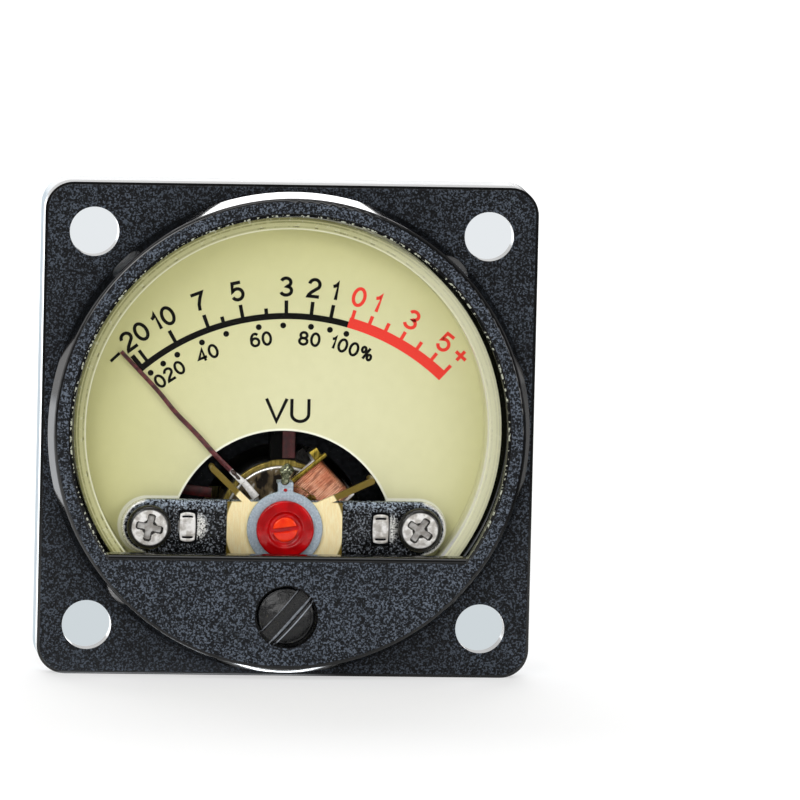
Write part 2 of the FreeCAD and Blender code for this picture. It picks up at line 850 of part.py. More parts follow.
def make_front_bridge():
    """Brass plate with a boss for the zero lever and two stop arms whose tips bend back."""
    body = new_body("front_bridge")
    half = S.plate_half_width
    low = -S.bracket_half_height
    pad_outline(body, box_corners(-half, half, low, S.plate_rise), bracket_front, plate_front)
    pad_circle(body, S.boss_radius, bracket_front, nut_back)
    for angle, foot, reach in (
        (S.left_stop_angle, -S.plate_half_width * 0.55, stop_radius - S.left_stop_inset),
        (S.right_stop_angle, S.plate_half_width * 0.45, stop_radius),
    ):
        tip = (reach * sine(angle), reach * cosine(angle))
        start = (foot, S.plate_rise - S.stop_arm_width)
        pad_outline(body, bar_corners(start, tip, S.stop_arm_width), bracket_front, plate_front)
        pad_circle(body, S.stop_arm_width / 2, S.stop_tip_back, plate_front, *tip)
    cut_circle(body, S.jewel_radius, bracket_front, nut_back)
    at_pivot(body, "front_bridge")


def bearing_screw(name, back, front, cup_at_front, tilt):
    """A slotted screw with a conical cup in the end that takes the pivot."""
    shank = rod(name + "_shank", S.jewel_radius, back, front)
    depth = S.jewel_slot * 1.2
    reach = S.jewel_radius * 1.1
    half = S.jewel_slot / 2
    cup_depth = S.jewel_slot * 1.5
    cup_radius = S.jewel_radius * 0.6
    if cup_at_front:
        slot_front = back + depth
        cup = taper(name + "_cup", S.pivot_radius / 2, cup_radius, front - cup_depth, front)
    else:
        slot_front = front
        cup = taper(name + "_cup", cup_radius, S.pivot_radius / 2, back, back + cup_depth)
    slot = block(name + "_slot", -reach, reach, slot_front - depth, slot_front, -half, half)
    across, up = slot_shift(reach, half, tilt)
    stand(slot, across, slot_front, up, tilt)
    return cut(name, shank, slot, cup)


def slot_shift(reach, half, tilt):
    """Where the corner of a slot's block goes when the slot is turned about its middle."""
    return (reach * cosine(tilt) * -1 - half * sine(tilt), reach * sine(tilt) - half * cosine(tilt))


def lock_nut(name, back, front, recess_at_front):
    """A round nut with a shallow recess round its screw."""
    disc = rod(name + "_disc", S.nut_radius, back, front)
    bore = rod(name + "_bore", S.jewel_radius, back, front)
    if recess_at_front:
        recess = rod(name + "_recess", S.nut_recess_radius, front - S.nut_recess, front)
    else:
        recess = rod(name + "_recess", S.nut_recess_radius, back, back + S.nut_recess)
    return cut(name, disc, bore, recess)


def make_bearings():
    """Bearing screws with their lock nuts, front and rear."""
    nut_front = nut_back + S.nut_height
    screw_front = nut_front + S.hair_gap
    front = bearing_screw("front_jewel", screw_front - S.jewel_length, screw_front, False,
                          S.front_jewel_turn)
    at_pivot(front, "front_jewel_screw")
    at_pivot(lock_nut("front_nut", nut_back, nut_front, True), "front_lock_nut")
    nut_rear = rear_bridge_back - S.nut_height
    screw_rear = nut_rear - S.hair_gap
    rear = bearing_screw("rear_jewel", screw_rear, rear_bridge_front + S.hair_gap, True,
                         S.rear_jewel_turn)
    at_pivot(rear, "rear_jewel_screw")
    at_pivot(lock_nut("rear_nut", nut_rear, rear_bridge_back, False), "rear_lock_nut")


def make_rear_bridge():
    """Brass strip across the back, with two feet that reach forward to the yoke."""
    body = new_body("rear_bridge")
    outer = yoke_outer_radius - S.dial_gap
    inner = yoke_inner_radius + S.dial_gap
    half = S.core_arm_width * 0.8
    pad_outline(body, box_corners(-outer, outer, -half, half), rear_bridge_back, rear_bridge_front)
    for side in (-1, 1):
        foot = box_corners(*sorted((inner * side, outer * side), key=number), -half, half)
        pad_outline(body, foot, rear_bridge_front, yoke_back)
    cut_circle(body, S.jewel_radius, rear_bridge_back, rear_bridge_front)
    at_pivot(body, "rear_bridge")


# Hairsprings

def spiral_strip(turns, end_radius):
    """Flat spiral strip of half-turn arcs about two centres a quarter pitch off the axis.

    The last half turn swings out to the given end radius, where the strip is fixed.
    The outline runs out along one side of the strip and home along the other.
    """
    pitch = number(S.spring_pitch)
    thick = number(S.spring_strip)
    inner = number(S.spring_inner_radius)
    sides = {1: [], -1: []}
    half_turns = int(turns * 2)
    start = inner
    side_sign = 1
    widest = inner
    for step in range(half_turns):
        end = end_radius if step == half_turns - 1 else start + pitch / 2
        centre = Vector(side_sign * (start - end) / 2, 0, 0)
        radius = (start + end) / 2
        for side in (1, -1):
            reach = radius + side * thick / 2
            points = [centre + Vector(math.cos(turn) * reach, 0, math.sin(turn) * reach)
                      for turn in arc_turns(side_sign)]
            sides[side].append(Part.Arc(*points).toShape())
        widest = end
        start = end
        side_sign = -side_sign
    first = Part.LineSegment(sides[1][0].Vertexes[0].Point, sides[-1][0].Vertexes[0].Point).toShape()
    last = Part.LineSegment(sides[1][-1].Vertexes[-1].Point, sides[-1][-1].Vertexes[-1].Point).toShape()
    outline = Part.Wire(Part.__sortEdges__([first] + sides[1] + [last] + sides[-1]))
    print("hairspring: least gap between turns %.3f mm" % (pitch - thick), "end radius", round(widest, 3))
    return Part.Face(outline)


def arc_turns(side_sign):
    """Start, middle and end angle of a half turn that begins on the given side."""
    start = 0.0 if side_sign > 0 else math.pi
    return start, start + math.pi / 2, start + math.pi


def make_hairspring(label, back, width, turn):
    """One hairspring, as a thick flat spiral between its collet and its fixed end."""
    face = spiral_strip(SPRING_TURNS, number(spring_end_radius))
    item = document.addObject("Part::Feature", label + "_strip")
    item.Shape = face.extrude(Vector(0, -number(width), 0))
    finish(item, label, forward=back, up=-S.pivot_drop, turn=turn)


def collet(label, back, front):
    """Small brass sleeve that holds the inner end of a hairspring."""
    outer = rod(label + "_outer", S.collet_radius, back, front)
    bore = rod(label + "_bore", S.pivot_radius, back, front)
    at_pivot(cut(label + "_sleeve", outer, bore), label)


def make_springs():
    """Both hairsprings with their collets and fixed ends."""
    make_hairspring("front_hairspring", spring_back, S.spring_width, -90.0)
    make_hairspring("rear_hairspring", rear_spring_back, S.spring_width, 0.0)
    collet("front_collet", spring_back, spring_back + S.spring_width)
    collet("rear_collet", rear_spring_back, rear_spring_back + S.spring_width)
    left = S.lever_tab_reach
    half = S.lever_tab_width / 2
    right = left + S.lever_tab_width * 0.7
    front = rear_spring_back + S.spring_width
    anchor = block("anchor", left, right, rear_bridge_front, front, -half, half)
    at_pivot(group("anchor_block", anchor), "rear_spring_anchor")


# Moving coil and pointer, built with the pointer upright and turned to the rest angle

def loop_block(name, half_length, rear, front, half_width):
    """A block as long as one layer of the coil."""
    return block(name, -half_length, half_length, rear, front, -half_width, half_width)


def make_coil():
    """Aluminium former with a lip each side, and the closed pack of its winding."""
    wall, depth = S.former_wall, S.winding_depth
    former_width = lip_half_width
    outer_half = S.coil_inner + wall
    wound_half = outer_half + depth
    lip_half = lip_half_length
    inner = loop_block("loop_inner", S.coil_inner, tail_crossing, crossing_back, former_width)
    tube = loop_block("loop_tube", outer_half, tail_crossing - wall, winding_back, former_width)
    lips = []
    for side in (-1, 1):
        low, high = sorted((S.coil_half_width * side, former_width * side), key=number)
        lips.append(block("loop_lip_%d" % (side + 1), -lip_half, lip_half, coil_rear, seat_back, low, high))
    at_pivot(cut("former", fuse("former_solid", tube, *lips), inner), "coil_former", S.rest_angle)
    pack = loop_block("pack_outer", wound_half, coil_rear + wall, winding_front, S.coil_half_width)
    hollow = loop_block("pack_inner", outer_half, tail_crossing - wall, winding_back, S.coil_half_width)
    at_pivot(cut("pack", pack, hollow), "coil_winding", S.rest_angle)


def make_pointer():
    """Thin tapered pointer on its aluminium seat, which also carries the balance arms."""
    needle = new_body("pointer")
    root_half = S.pointer_root_width / 2
    tip_half = S.pointer_tip_width / 2
    pad_outline(needle, [
        (-root_half, S.pointer_start), (root_half, S.pointer_start),
        (tip_half, S.pointer_reach), (-tip_half, S.pointer_reach),
    ], seat_front, pointer_front)
    at_pivot(needle, "pointer", S.rest_angle)
    body = new_body("pointer_seat")
    half = S.seat_width / 2
    hub = S.seat_width * 1.6
    pad_circle(body, hub, seat_back, seat_front)
    pad_outline(body, box_corners(-half, half, -S.tail_reach, S.seat_reach), seat_back, seat_front)
    thin = half / 2
    pad_outline(body, box_corners(-S.side_reach, S.side_reach, -thin, thin), seat_back, seat_front)
    cut_circle(body, S.pivot_radius, seat_back, seat_front)
    at_pivot(body, "pointer_seat", S.rest_angle)


def make_balance_weights():
    """Three small brass slugs, one on the tail and one on each side arm."""
    tail_front = seat_front + S.tail_weight_height
    side_front = seat_front + S.side_weight_height
    low = S.tail_weight_radius - S.tail_reach
    reach = S.side_reach - S.side_weight_radius
    slugs = [
        rod("tail_slug", S.tail_weight_radius, seat_front, tail_front, up=low),
        rod("left_slug", S.side_weight_radius, seat_front, side_front, -reach),
        rod("right_slug", S.side_weight_radius, seat_front, side_front, reach),
    ]
    at_pivot(group("slugs", *slugs), "balance_weights", S.rest_angle)


def staff(label, foot, tip, towards_front):
    """A steel pivot: a short shaft that ends in a cone."""
    point = S.pivot_radius * 2
    if towards_front:
        shaft = rod(label + "_shaft", S.pivot_radius, foot, tip - point)
        cone = taper(label + "_point", S.pivot_radius, S.pivot_radius / 4, tip - point, tip)
    else:
        shaft = rod(label + "_shaft", S.pivot_radius, tip + point, foot)
        cone = taper(label + "_point", S.pivot_radius / 4, S.pivot_radius, tip, tip + point)
    at_pivot(fuse(label + "_solid", shaft, cone), label)


def make_pivots():
    """Front and rear pivots, their points a hair's gap inside the bearing cups."""
    front_screw_back = nut_back + S.nut_height + S.hair_gap - S.jewel_length
    cup_depth = S.jewel_slot * 1.5
    staff("front_pivot", seat_back, front_screw_back + cup_depth - S.hair_gap * 2, True)
    rear_tip = rear_bridge_front + S.hair_gap - cup_depth + S.hair_gap * 2
    staff("rear_pivot", coil_rear + S.former_wall, rear_tip, False)


# Zero adjustment

def make_zero_lever():
    """Ring that turns on the bridge's boss, with a tab for the spring and a fork below."""
    body = new_body("zero_lever")
    half_tab = S.lever_tab_width / 2
    half_fork = S.fork_width / 2
    slot = S.crank_pin_radius + S.fork_gap
    tab_top = S.lever_tab_reach + S.lever_depth
    pad_circle(body, S.lever_radius, lever_back, lever_front)
    pad_outline(body, box_corners(-half_tab, half_tab, 0.0, tab_top), lever_back, lever_front)
    bend = box_corners(-half_tab, half_tab, S.lever_tab_reach, tab_top)
    pad_outline(body, bend, S.lever_tab_back, lever_front)
    slot_top = -screw_distance + S.crank_throw + S.crank_pin_radius + S.fork_end_gap
    fork_end = -screw_distance - S.fork_end_gap
    pad_outline(body, box_corners(-half_fork, half_fork, fork_end, 0.0), lever_back, lever_front)
    cut_circle(body, S.boss_radius + S.slide_gap, lever_back, lever_front)
    cut_outline(body, box_corners(-slot, slot, fork_end, slot_top), lever_back, lever_front)
    at_pivot(body, "zero_lever")


def make_spring_solder():
    """Bead of solder on the outside of the tab, over the hairspring's outer end."""
    bead = document.addObject("Part::Ellipsoid", "bead")
    height = S.lever_tab_width * 1.4
    low = S.lever_tab_reach + S.lever_depth
    side = S.lever_radius
    tie(bead, "Radius1", S.lever_tab_width * 0.45)
    tie(bead, "Radius2", S.lever_tab_width * 0.5)
    tie(bead, "Radius3", height / 2)
    bead.Angle1 = -90.0
    stand(bead, forward=S.lever_tab_back + S.lever_tab_width * 0.5, up=low + height / 2 - S.lever_depth)
    below = block("bead_foot", -side, side, panel_face, lever_front, panel_face, low)
    at_pivot(cut("bead_cut", bead, below), "spring_solder")


def rounded_path(points, bend):
    """Straight runs through the points, with an arc of one radius at each corner."""
    edges = []
    start = points[0]
    for before, corner, after in zip(points, points[1:], points[2:]):
        back = (before - corner).normalize()
        ahead = (after - corner).normalize()
        half = back.getAngle(ahead) / 2
        reach = bend / math.tan(half)
        middle = corner + (back + ahead).normalize() * (bend / math.sin(half) - bend)
        arc_start = corner + back * reach
        arc_end = corner + ahead * reach
        edges.append(Part.LineSegment(start, arc_start).toShape())
        edges.append(Part.Arc(arc_start, middle, arc_end).toShape())
        start = arc_end
    edges.append(Part.LineSegment(start, points[-1]).toShape())
    return Part.Wire(edges)


def round_wire(name, places):
    """A round wire along a path of (across, forward, up) places."""
    points = [Vector(number(across), -number(forward), number(up)) for across, forward, up in places]
    path = rounded_path(points, number(S.lead_bend))
    section = Part.Circle(points[0], points[1] - points[0], number(S.lead_radius)).toShape()
    item = document.addObject("Part::Feature", name)
    item.Shape = path.makePipeShell([Part.Wire([section])], True, False)
    return item


def make_coil_leads():
    """One wire from each tag: the left one to the rear bridge, the right one to the bracket."""
    tag_end = floor_front + S.tag_inside
    tag_up = S.tag_rise - S.tag_width / 2
    level = rear_bridge_front - S.rear_bridge_depth / 2
    bridge_top = S.core_arm_width * 0.8 - S.pivot_drop
    foot = -yoke_outer_radius + S.dial_gap * 2
    reach = S.bracket_screw_reach - S.lead_inset
    rise = S.lead_rise - S.pivot_drop
    left = round_wire("left_lead", [
        (-S.tag_reach, tag_end, tag_up), (-S.tag_reach, level, tag_up),
        (foot, level, tag_up - S.tag_width / 2), (foot, level, bridge_top),
    ])
    right = round_wire("right_lead", [
        (S.tag_reach, tag_end, tag_up), (S.tag_reach, tag_end + S.lead_step, tag_up),
        (reach, tag_end + S.lead_step * 2, rise), (reach, bracket_back, rise),
    ])
    finish(group("leads", left, right), "coil_leads")


def make_zero_screw():
    """Slotted plastic screw, and the brass crank pressed on its end behind the lens."""
    body = new_body("zero_screw")
    head_back = lens_front + S.hair_gap
    head_front = head_back + S.zero_head_height
    shaft_back = lens_back - S.slide_gap - S.crank_depth
    revolve(body, [
        (0.0, shaft_back), (S.zero_shaft_radius, shaft_back), (S.zero_shaft_radius, head_back),
        (S.zero_head_radius, head_back), (S.zero_head_radius, head_front),
        (S.zero_head_radius * 0.6, head_front + S.zero_dome), (0.0, head_front + S.zero_dome),
    ])
    half = S.zero_slot_width / 2
    reach = S.zero_head_radius * 1.1
    cut_outline(body, box_corners(-reach, reach, -half, half), head_front - S.zero_slot_depth,
                head_front + S.zero_dome * 2)
    finish(body, "zero_adjust_screw", up=-S.zero_drop, turn=S.zero_slot_angle)
    crank = new_body("zero_crank")
    crank_back = shaft_back
    crank_front = crank_back + S.crank_depth
    pad_circle(crank, S.crank_radius, crank_back, crank_front)
    pad_circle(crank, S.crank_pin_radius, crank_back - S.crank_pin_length, crank_back, up=S.crank_throw)
    cut_circle(crank, S.zero_shaft_radius, crank_back, crank_front)
    finish(crank, "zero_crank", up=-S.zero_drop)


def check_features():
    """Stop if any object failed, or a pocket took nothing away."""
    for item in document.Objects:
        if any(word in ("Invalid", "Error") for word in item.State):
            raise RuntimeError("%s failed: %s" % (item.Name, item.State))
        if item.TypeId == "PartDesign::Pocket":
            if item.Shape.Volume > item.BaseFeature.Shape.Volume - 1e-6:
                raise RuntimeError(item.Name + " cuts nothing")
    for label, item in PIECES.items():
        if item.Shape.isNull() or not item.Shape.isValid() or not item.Shape.Solids:
            raise RuntimeError(label + " has no valid solid")


def main():
    """Build every sub-part, test it and write its file."""
    make_clear_cover()
    make_front_bezel()
    make_rear_case()
    make_dial_frame()
    make_dial_plate()
    make_diffuser()
    make_lamp_board()
    make_lamp_leds()
    make_lamp_terminals()
    make_signal_terminals()
    make_front_bracket()
    make_bracket_screws()
    make_yoke_ring()
    make_core()
    make_front_bridge()
    make_bearings()
    make_rear_bridge()
    make_springs()
    make_coil()
    make_pointer()
    make_balance_weights()
    make_pivots()
    make_zero_lever()
    make_spring_solder()
    make_zero_screw()
    make_coil_leads()
    document.recompute()
    check_features()
    os.makedirs("parts", exist_ok=True)
    for label, item in PIECES.items():
        item.Shape.exportStep("parts/%s.step" % label)
        print("%-20s %d solids %10.3f mm3" % (label, len(item.Shape.Solids), item.Shape.Volume))


main()
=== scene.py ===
"""Looks of a 35 mm analog VU meter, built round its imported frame.

Lengths in this script are millimetres, with x to the right, z up and "forward" towards the viewer,
which is minus y. A mesh is made in metres at the end, in the frame's own place.
"""
import json
import math
from functools import partial

import bmesh
import bpy
import numpy as np
from mathutils import Matrix
from mathutils import Vector


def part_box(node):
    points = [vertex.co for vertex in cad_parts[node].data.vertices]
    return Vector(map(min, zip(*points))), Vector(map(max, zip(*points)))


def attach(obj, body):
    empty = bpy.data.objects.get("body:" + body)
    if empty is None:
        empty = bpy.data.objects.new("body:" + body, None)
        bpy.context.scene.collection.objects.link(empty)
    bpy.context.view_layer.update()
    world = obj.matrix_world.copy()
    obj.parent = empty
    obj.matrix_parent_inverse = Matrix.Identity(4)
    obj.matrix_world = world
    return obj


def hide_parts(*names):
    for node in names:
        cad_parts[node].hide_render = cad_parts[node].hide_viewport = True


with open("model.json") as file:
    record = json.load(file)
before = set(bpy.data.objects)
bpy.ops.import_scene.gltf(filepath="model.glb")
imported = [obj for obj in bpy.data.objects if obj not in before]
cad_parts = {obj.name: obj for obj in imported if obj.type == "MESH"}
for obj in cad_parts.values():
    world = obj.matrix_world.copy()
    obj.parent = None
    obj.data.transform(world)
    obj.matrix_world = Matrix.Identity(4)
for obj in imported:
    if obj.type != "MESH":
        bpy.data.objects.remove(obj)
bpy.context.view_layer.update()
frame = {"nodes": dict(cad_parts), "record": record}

MM = 0.001

# sizes, some read from the frame and some given
JOINTS = {joint["name"]: joint for joint in frame["record"]["behaviour"]["joints"]}
PIVOT = np.array(JOINTS["pointer_swing"]["pos_m"]) / MM
ZERO_SCREW = np.array(JOINTS["zero_screw_turn"]["pos_m"]) / MM


def span(node):
    """A node's lowest and highest corners, in millimetres."""
    low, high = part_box(node)
    return np.array(low) / MM, np.array(high) / MM


def front_of(node):
    """How far forward a node's front face lies."""
    return -span(node)[0][1]


FLANGE_HALF = span("front_bezel")[1][0]
DIAL_FRONT = front_of("dial_plate")
BRACKET_FRONT = front_of("front_bracket")
BRACKET_BACK = -span("front_bracket")[1][1]
BRACKET_HALF_HEIGHT = (span("front_bracket")[1][2] - span("front_bracket")[0][2]) / 2
BRACKET_END = span("front_bracket")[1][0] - BRACKET_HALF_HEIGHT
YOKE_FRONT = 0.3
ARM_FRONT = 0.75
POINTER_FRONT = front_of("pointer")
POINTER_REACH = 17.0
POINTER_ROOT = 4.2
NUT_FRONT = front_of("front_lock_nut")
NUT_RADIUS = span("front_lock_nut")[1][0]
COIL_FRONT = front_of("coil_winding")
COIL_BACK = -span("coil_winding")[1][1]
SCREW_RADIUS = span("bracket_screws")[1][0] - BRACKET_END
SCREW_TOP = front_of("bracket_screws")
ZERO_BACK = -span("zero_adjust_screw")[1][1]
ZERO_RADIUS = span("zero_adjust_screw")[1][0]
ZERO_TOP = front_of("zero_adjust_screw")
REST_TURN = -43.7
CUTOUT_RADIUS = 8.0
CUTOUT_RISE = PIVOT[2] - 1.25
HOLE_REACH = 14.0
WINDOW_RADIUS = 15.48
FLANGE_CORNER = 2.0
APRON_EDGE = -8.65
STAKE_REACH = 6.88
ZERO_TURN = 41.0

# print on the dial: an arc's centre and radii, with angles right of straight up
SCALE_CENTRE = np.array([0.19, -8.21])
SCALE_RADIUS = 15.83
BLACK_BAND = 0.44
RED_BAND = 0.75
LONG_TICK = 17.16
SHORT_TICK = 16.65
DOT_RADIUS = 15.38
UPPER_FIGURES = 18.15
LOWER_FIGURES = 14.5
MINUS_RADIUS = 17.88
INK_LIFT = 0.012


# Materials

# for each plain name: Blender's kind of node, its settings, the sockets given in order, the output
NODE_KINDS = {
    "times": ("Math", {"operation": "MULTIPLY"}, (0, 1), 0),
    "plus": ("Math", {"operation": "ADD"}, (0, 1), 0),
    "minus": ("Math", {"operation": "SUBTRACT"}, (0, 1), 0),
    "over": ("Math", {"operation": "DIVIDE"}, (0, 1), 0),
    "least": ("Math", {"operation": "MINIMUM"}, (0, 1), 0),
    "most": ("Math", {"operation": "MAXIMUM"}, (0, 1), 0),
    "size": ("Math", {"operation": "ABSOLUTE"}, (0,), 0),
    "root": ("Math", {"operation": "SQRT"}, (0,), 0),
    "ramp": ("MapRange", {"interpolation_type": "SMOOTHSTEP"},
             ("Value", "From Min", "From Max", "To Min", "To Max"), 0),
    "between": ("Mix", {}, (0, 2, 3), 0),
    "blend": ("Mix", {"data_type": "RGBA"}, (0, 6, 7), 2),
    "noise": ("TexNoise", {}, ("Vector", "Scale", "Detail", "Roughness"), "Fac"),
    "map": ("Mapping", {}, ("Vector", "Scale", "Rotation"), 0),
    "bump": ("Bump", {}, ("Height", "Distance", "Strength"), 0),
    "place": ("TexCoord", {}, (), "Object"),
    "normal": ("TexCoord", {}, (), "Normal"),
    "direction": ("TexCoord", {}, (), "Generated"),
    "split": ("SeparateXYZ", {}, (0,), None),
    "light path": ("LightPath", {}, (), None),
    "clear": ("BsdfTransparent", {}, ("Color",), 0),
    "glow": ("Emission", {}, ("Color", "Strength"), 0),
    "either": ("MixShader", {}, (0, 1, 2), 0),
}


def linear(hex_colour):
    """An sRGB hex colour as linear red, green, blue and alpha."""
    parts = [int(hex_colour[i:i + 2], 16) / 255 for i in (1, 3, 5)]
    steps = [c / 12.92 if c <= 0.04045 else ((c + 0.055) / 1.055) ** 2.4 for c in parts]
    return (*steps, 1.0)


def per_mm(size):
    """The texture scale at which one cell of a pattern is this many millimetres."""
    return 1 / (size * MM)


def add(mat, kind, *inputs, **settings):
    """Adds a node by its plain name and returns its output, or all of them where it has several.

    Each input is a number, an sRGB hex colour or another node's output. A ramp runs smoothly from 0 to
    1, or between two other numbers, while its value goes from a low to a high one.
    """
    blender_kind, usual, sockets, output = NODE_KINDS[kind]
    node = mat.node_tree.nodes.new("ShaderNode" + blender_kind)
    for key, value in {**usual, **settings}.items():
        setattr(node, key, value)
    for socket, value in zip(sockets, inputs):
        if isinstance(value, bpy.types.NodeSocket):
            mat.node_tree.links.new(value, node.inputs[socket])
        else:
            node.inputs[socket].default_value = linear(value) if isinstance(value, str) else value
    return node.outputs if output is None else node.outputs[output]


def surface(name, colour, roughness, metallic=0.0, **sockets):
    """A new material whose one shader has these plain values."""
    mat = bpy.data.materials.new(name)
    mat.use_nodes = True
    shader = mat.node_tree.nodes["Principled BSDF"]
    shader.inputs["Base Color"].default_value = linear(colour)
    shader.inputs["Roughness"].default_value = roughness
    shader.inputs["Metallic"].default_value = metallic
    for key, value in sockets.items():
        shader.inputs[key.replace("_", " ")].default_value = value
    return mat


def feed(mat, socket, output):
    """Links an output to a socket of the material's shader."""
    mat.node_tree.links.new(output, mat.node_tree.nodes["Principled BSDF"].inputs[socket])


def colour_of(mat):
    """The output that now gives the material its colour."""
    return mat.node_tree.nodes["Principled BSDF"].inputs["Base Color"].links[0].from_socket


def finish_with(mat, output):
    """Makes an output the material's whole surface."""
    mat.node_tree.links.new(output, mat.node_tree.nodes["Material Output"].inputs[0])


def parts(mat):
    """Object x, y and z as three outputs, in millimetres."""
    return add(mat, "split", add(mat, "map", add(mat, "place"), (1 / MM, 1 / MM, 1 / MM)))


def distance(mat, across, along):
    """How far off a place is from how far it lies across and along."""
    squares = add(mat, "plus", add(mat, "times", across, across), add(mat, "times", along, along))
    return add(mat, "root", squares)


def radius_about(mat, rise=0.0):
    """Distance, in millimetres, from the axis that runs forward at this height."""
    x, _, z = parts(mat)
    return distance(mat, x, add(mat, "minus", z, rise))


def facing_front(mat, low, high):
    """1 on faces that look straight forward and 0 on walls and rounded edges."""
    forward = add(mat, "split", add(mat, "normal"))[1]
    return add(mat, "ramp", add(mat, "times", forward, -1.0), low, high)


def grain(mat, size, detail=2.0, roughness=0.5, stretch=(1, 1, 1)):
    """A noise whose cells are this many millimetres, stretched by a factor each way."""
    mapped = add(mat, "map", add(mat, "place"), tuple(1 / s for s in stretch))
    return add(mat, "noise", mapped, per_mm(size), detail, roughness)


def mottle(mat, pattern, low, high, first, second):
    """Colours a surface from first to second while its pattern goes from low to high."""
    feed(mat, "Base Color", add(mat, "blend", add(mat, "ramp", pattern, low, high), first, second))


def vary_gloss(mat, pattern, smoothest, roughest):
    """Lets a surface's roughness follow its pattern."""
    feed(mat, "Roughness", add(mat, "ramp", pattern, 0.3, 0.7, smoothest, roughest))


def relief(mat, pattern, depth, strength=1.0):
    """Raises a pattern of 0 to 1 this many millimetres out of the surface."""
    feed(mat, "Normal", add(mat, "bump", pattern, depth * MM, strength))


def sanded_black_abs():
    """Black ABS moulded in a spark eroded tool: dark grit on the faces, polished walls.

    The grit is drawn 0.12 mm across, coarser than the real one, so that it shows. Its grains catch a
    little blue grey light, and the flange is darker than the raised ring. The window's lip, the apron's
    upper edge and the flange's border are polished, and the lip carries pale flecks.
    """
    mat = surface("sanded_black_abs", "#0b0c0e", 0.3, IOR=1.5)
    node = partial(add, mat)
    x, y, z = parts(mat)
    away = radius_about(mat)
    lip = node("size", node("minus", away, WINDOW_RADIUS))
    above = node("ramp", z, APRON_EDGE - 0.05, APRON_EDGE)
    rim = node("times", node("ramp", lip, 0.2, 0.26, 1.0, 0.0), above)
    ledge = node("times", node("ramp", z, APRON_EDGE - 0.46, APRON_EDGE - 0.38),
                 node("ramp", away, WINDOW_RADIUS + 0.1, WINDOW_RADIUS + 0.2, 1.0, 0.0))
    corner = FLANGE_HALF - FLANGE_CORNER
    past = [node("most", node("minus", node("size", axis), corner), 0.0) for axis in (x, z)]
    border = node("ramp", distance(mat, *past), FLANGE_CORNER - 0.22, FLANGE_CORNER - 0.18)
    polished = node("most", node("most", rim, ledge), border)
    flat = node("times", facing_front(mat, 0.97, 0.998), node("minus", 1.0, polished))
    raised = node("ramp", y, -5.5, -6.5)
    grit = grain(mat, 0.12, roughness=0.6)
    speck = node("times", node("ramp", grit, 0.47, 0.64), flat)
    speck = node("times", speck, node("ramp", grain(mat, 2.5), 0.3, 0.7, 0.75, 1.0))
    # pale flecks along the window's lip
    speckles = node("times", node("ramp", grain(mat, 0.22), 0.54, 0.6),
                 node("times", node("ramp", lip, 0.1, 0.14, 0.8, 0.0), above))
    body = node("blend", flat, node("blend", speckles, "#040506", "#c0c3b0"),
                node("blend", raised, "#08090c", "#0c0e12"))
    feed(mat, "Base Color", node("blend", speck, body, node("blend", raised, "#4a525d", "#626b78")))
    feed(mat, "Roughness", node("ramp", flat, 0.0, 1.0, 0.1, 0.6))
    feed(mat, "Specular IOR Level", node("ramp", flat, 0.0, 1.0, 0.6, 0.2))
    relief(mat, node("times", grit, flat), 0.06, 0.7)
    return mat


def clear_polycarbonate():
    """Clear polycarbonate: the lens and its cup are open, the flange's edges glow nearly white.

    Painted shade makes the flange's left and right sides greyer than its top, and darkens it
    under the black ring.
    The walls of the four bolt holes are left clear.
    """
    mat = surface("clear_polycarbonate", "#eef3f6", 0.12, IOR=1.58, Transmission_Weight=0.35)
    node = partial(add, mat)
    x, y, z = parts(mat)
    away = radius_about(mat)
    aside = node("size", node("split", node("normal"))[0])
    # painted shade: dark under the black ring, and greyer on the faces that look sideways
    under_ring_shade = node("ramp", away, 16.0, 16.3, 1.0, 0.0)
    tone = node("blend", node("ramp", aside, 0.3, 0.9), "#f4f6f8", "#c9d4dc")
    feed(mat, "Base Color", node("blend", under_ring_shade, tone, "#2b2c20"))
    feed(mat, "Specular IOR Level", node("ramp", aside, 0.3, 0.9, 0.5, 0.0))
    feed(mat, "Transmission Weight", node("times", node("ramp", aside, 0.3, 0.9, 0.35, 0.0),
                                          node("minus", 1.0, under_ring_shade)))
    cup = node("times", node("ramp", away, 16.4, 16.1), node("ramp", y, -3.0, -3.2))
    off_hole = [node("minus", node("size", axis), HOLE_REACH) for axis in (x, z)]
    holes = node("ramp", distance(mat, *off_hole), 2.6, 2.9, 1.0, 0.0)
    lens = node("times", cup, node("plus", 0.945, node("ramp", away, 15.2, 15.1, 0.0, 0.05)))
    shadow = node("light path")["Is Shadow Ray"]
    open_way = node("most", node("most", lens, holes), shadow)
    solid = mat.node_tree.nodes["Principled BSDF"].outputs[0]
    finish_with(mat, node("either", open_way, solid, node("clear", (1, 1, 1, 1))))
    return mat


def dial_tone_and_light_pool(mat):
    """Warm yellow green under a painted pool of light: palest right of the middle, deeper away from there.
    """
    x, _, z = parts(mat)
    away = distance(mat, add(mat, "minus", x, 3.0), add(mat, "plus", z, 1.0))
    return add(mat, "blend", add(mat, "ramp", away, 2.0, 18.0), "#e2e0b4", "#d3d198")


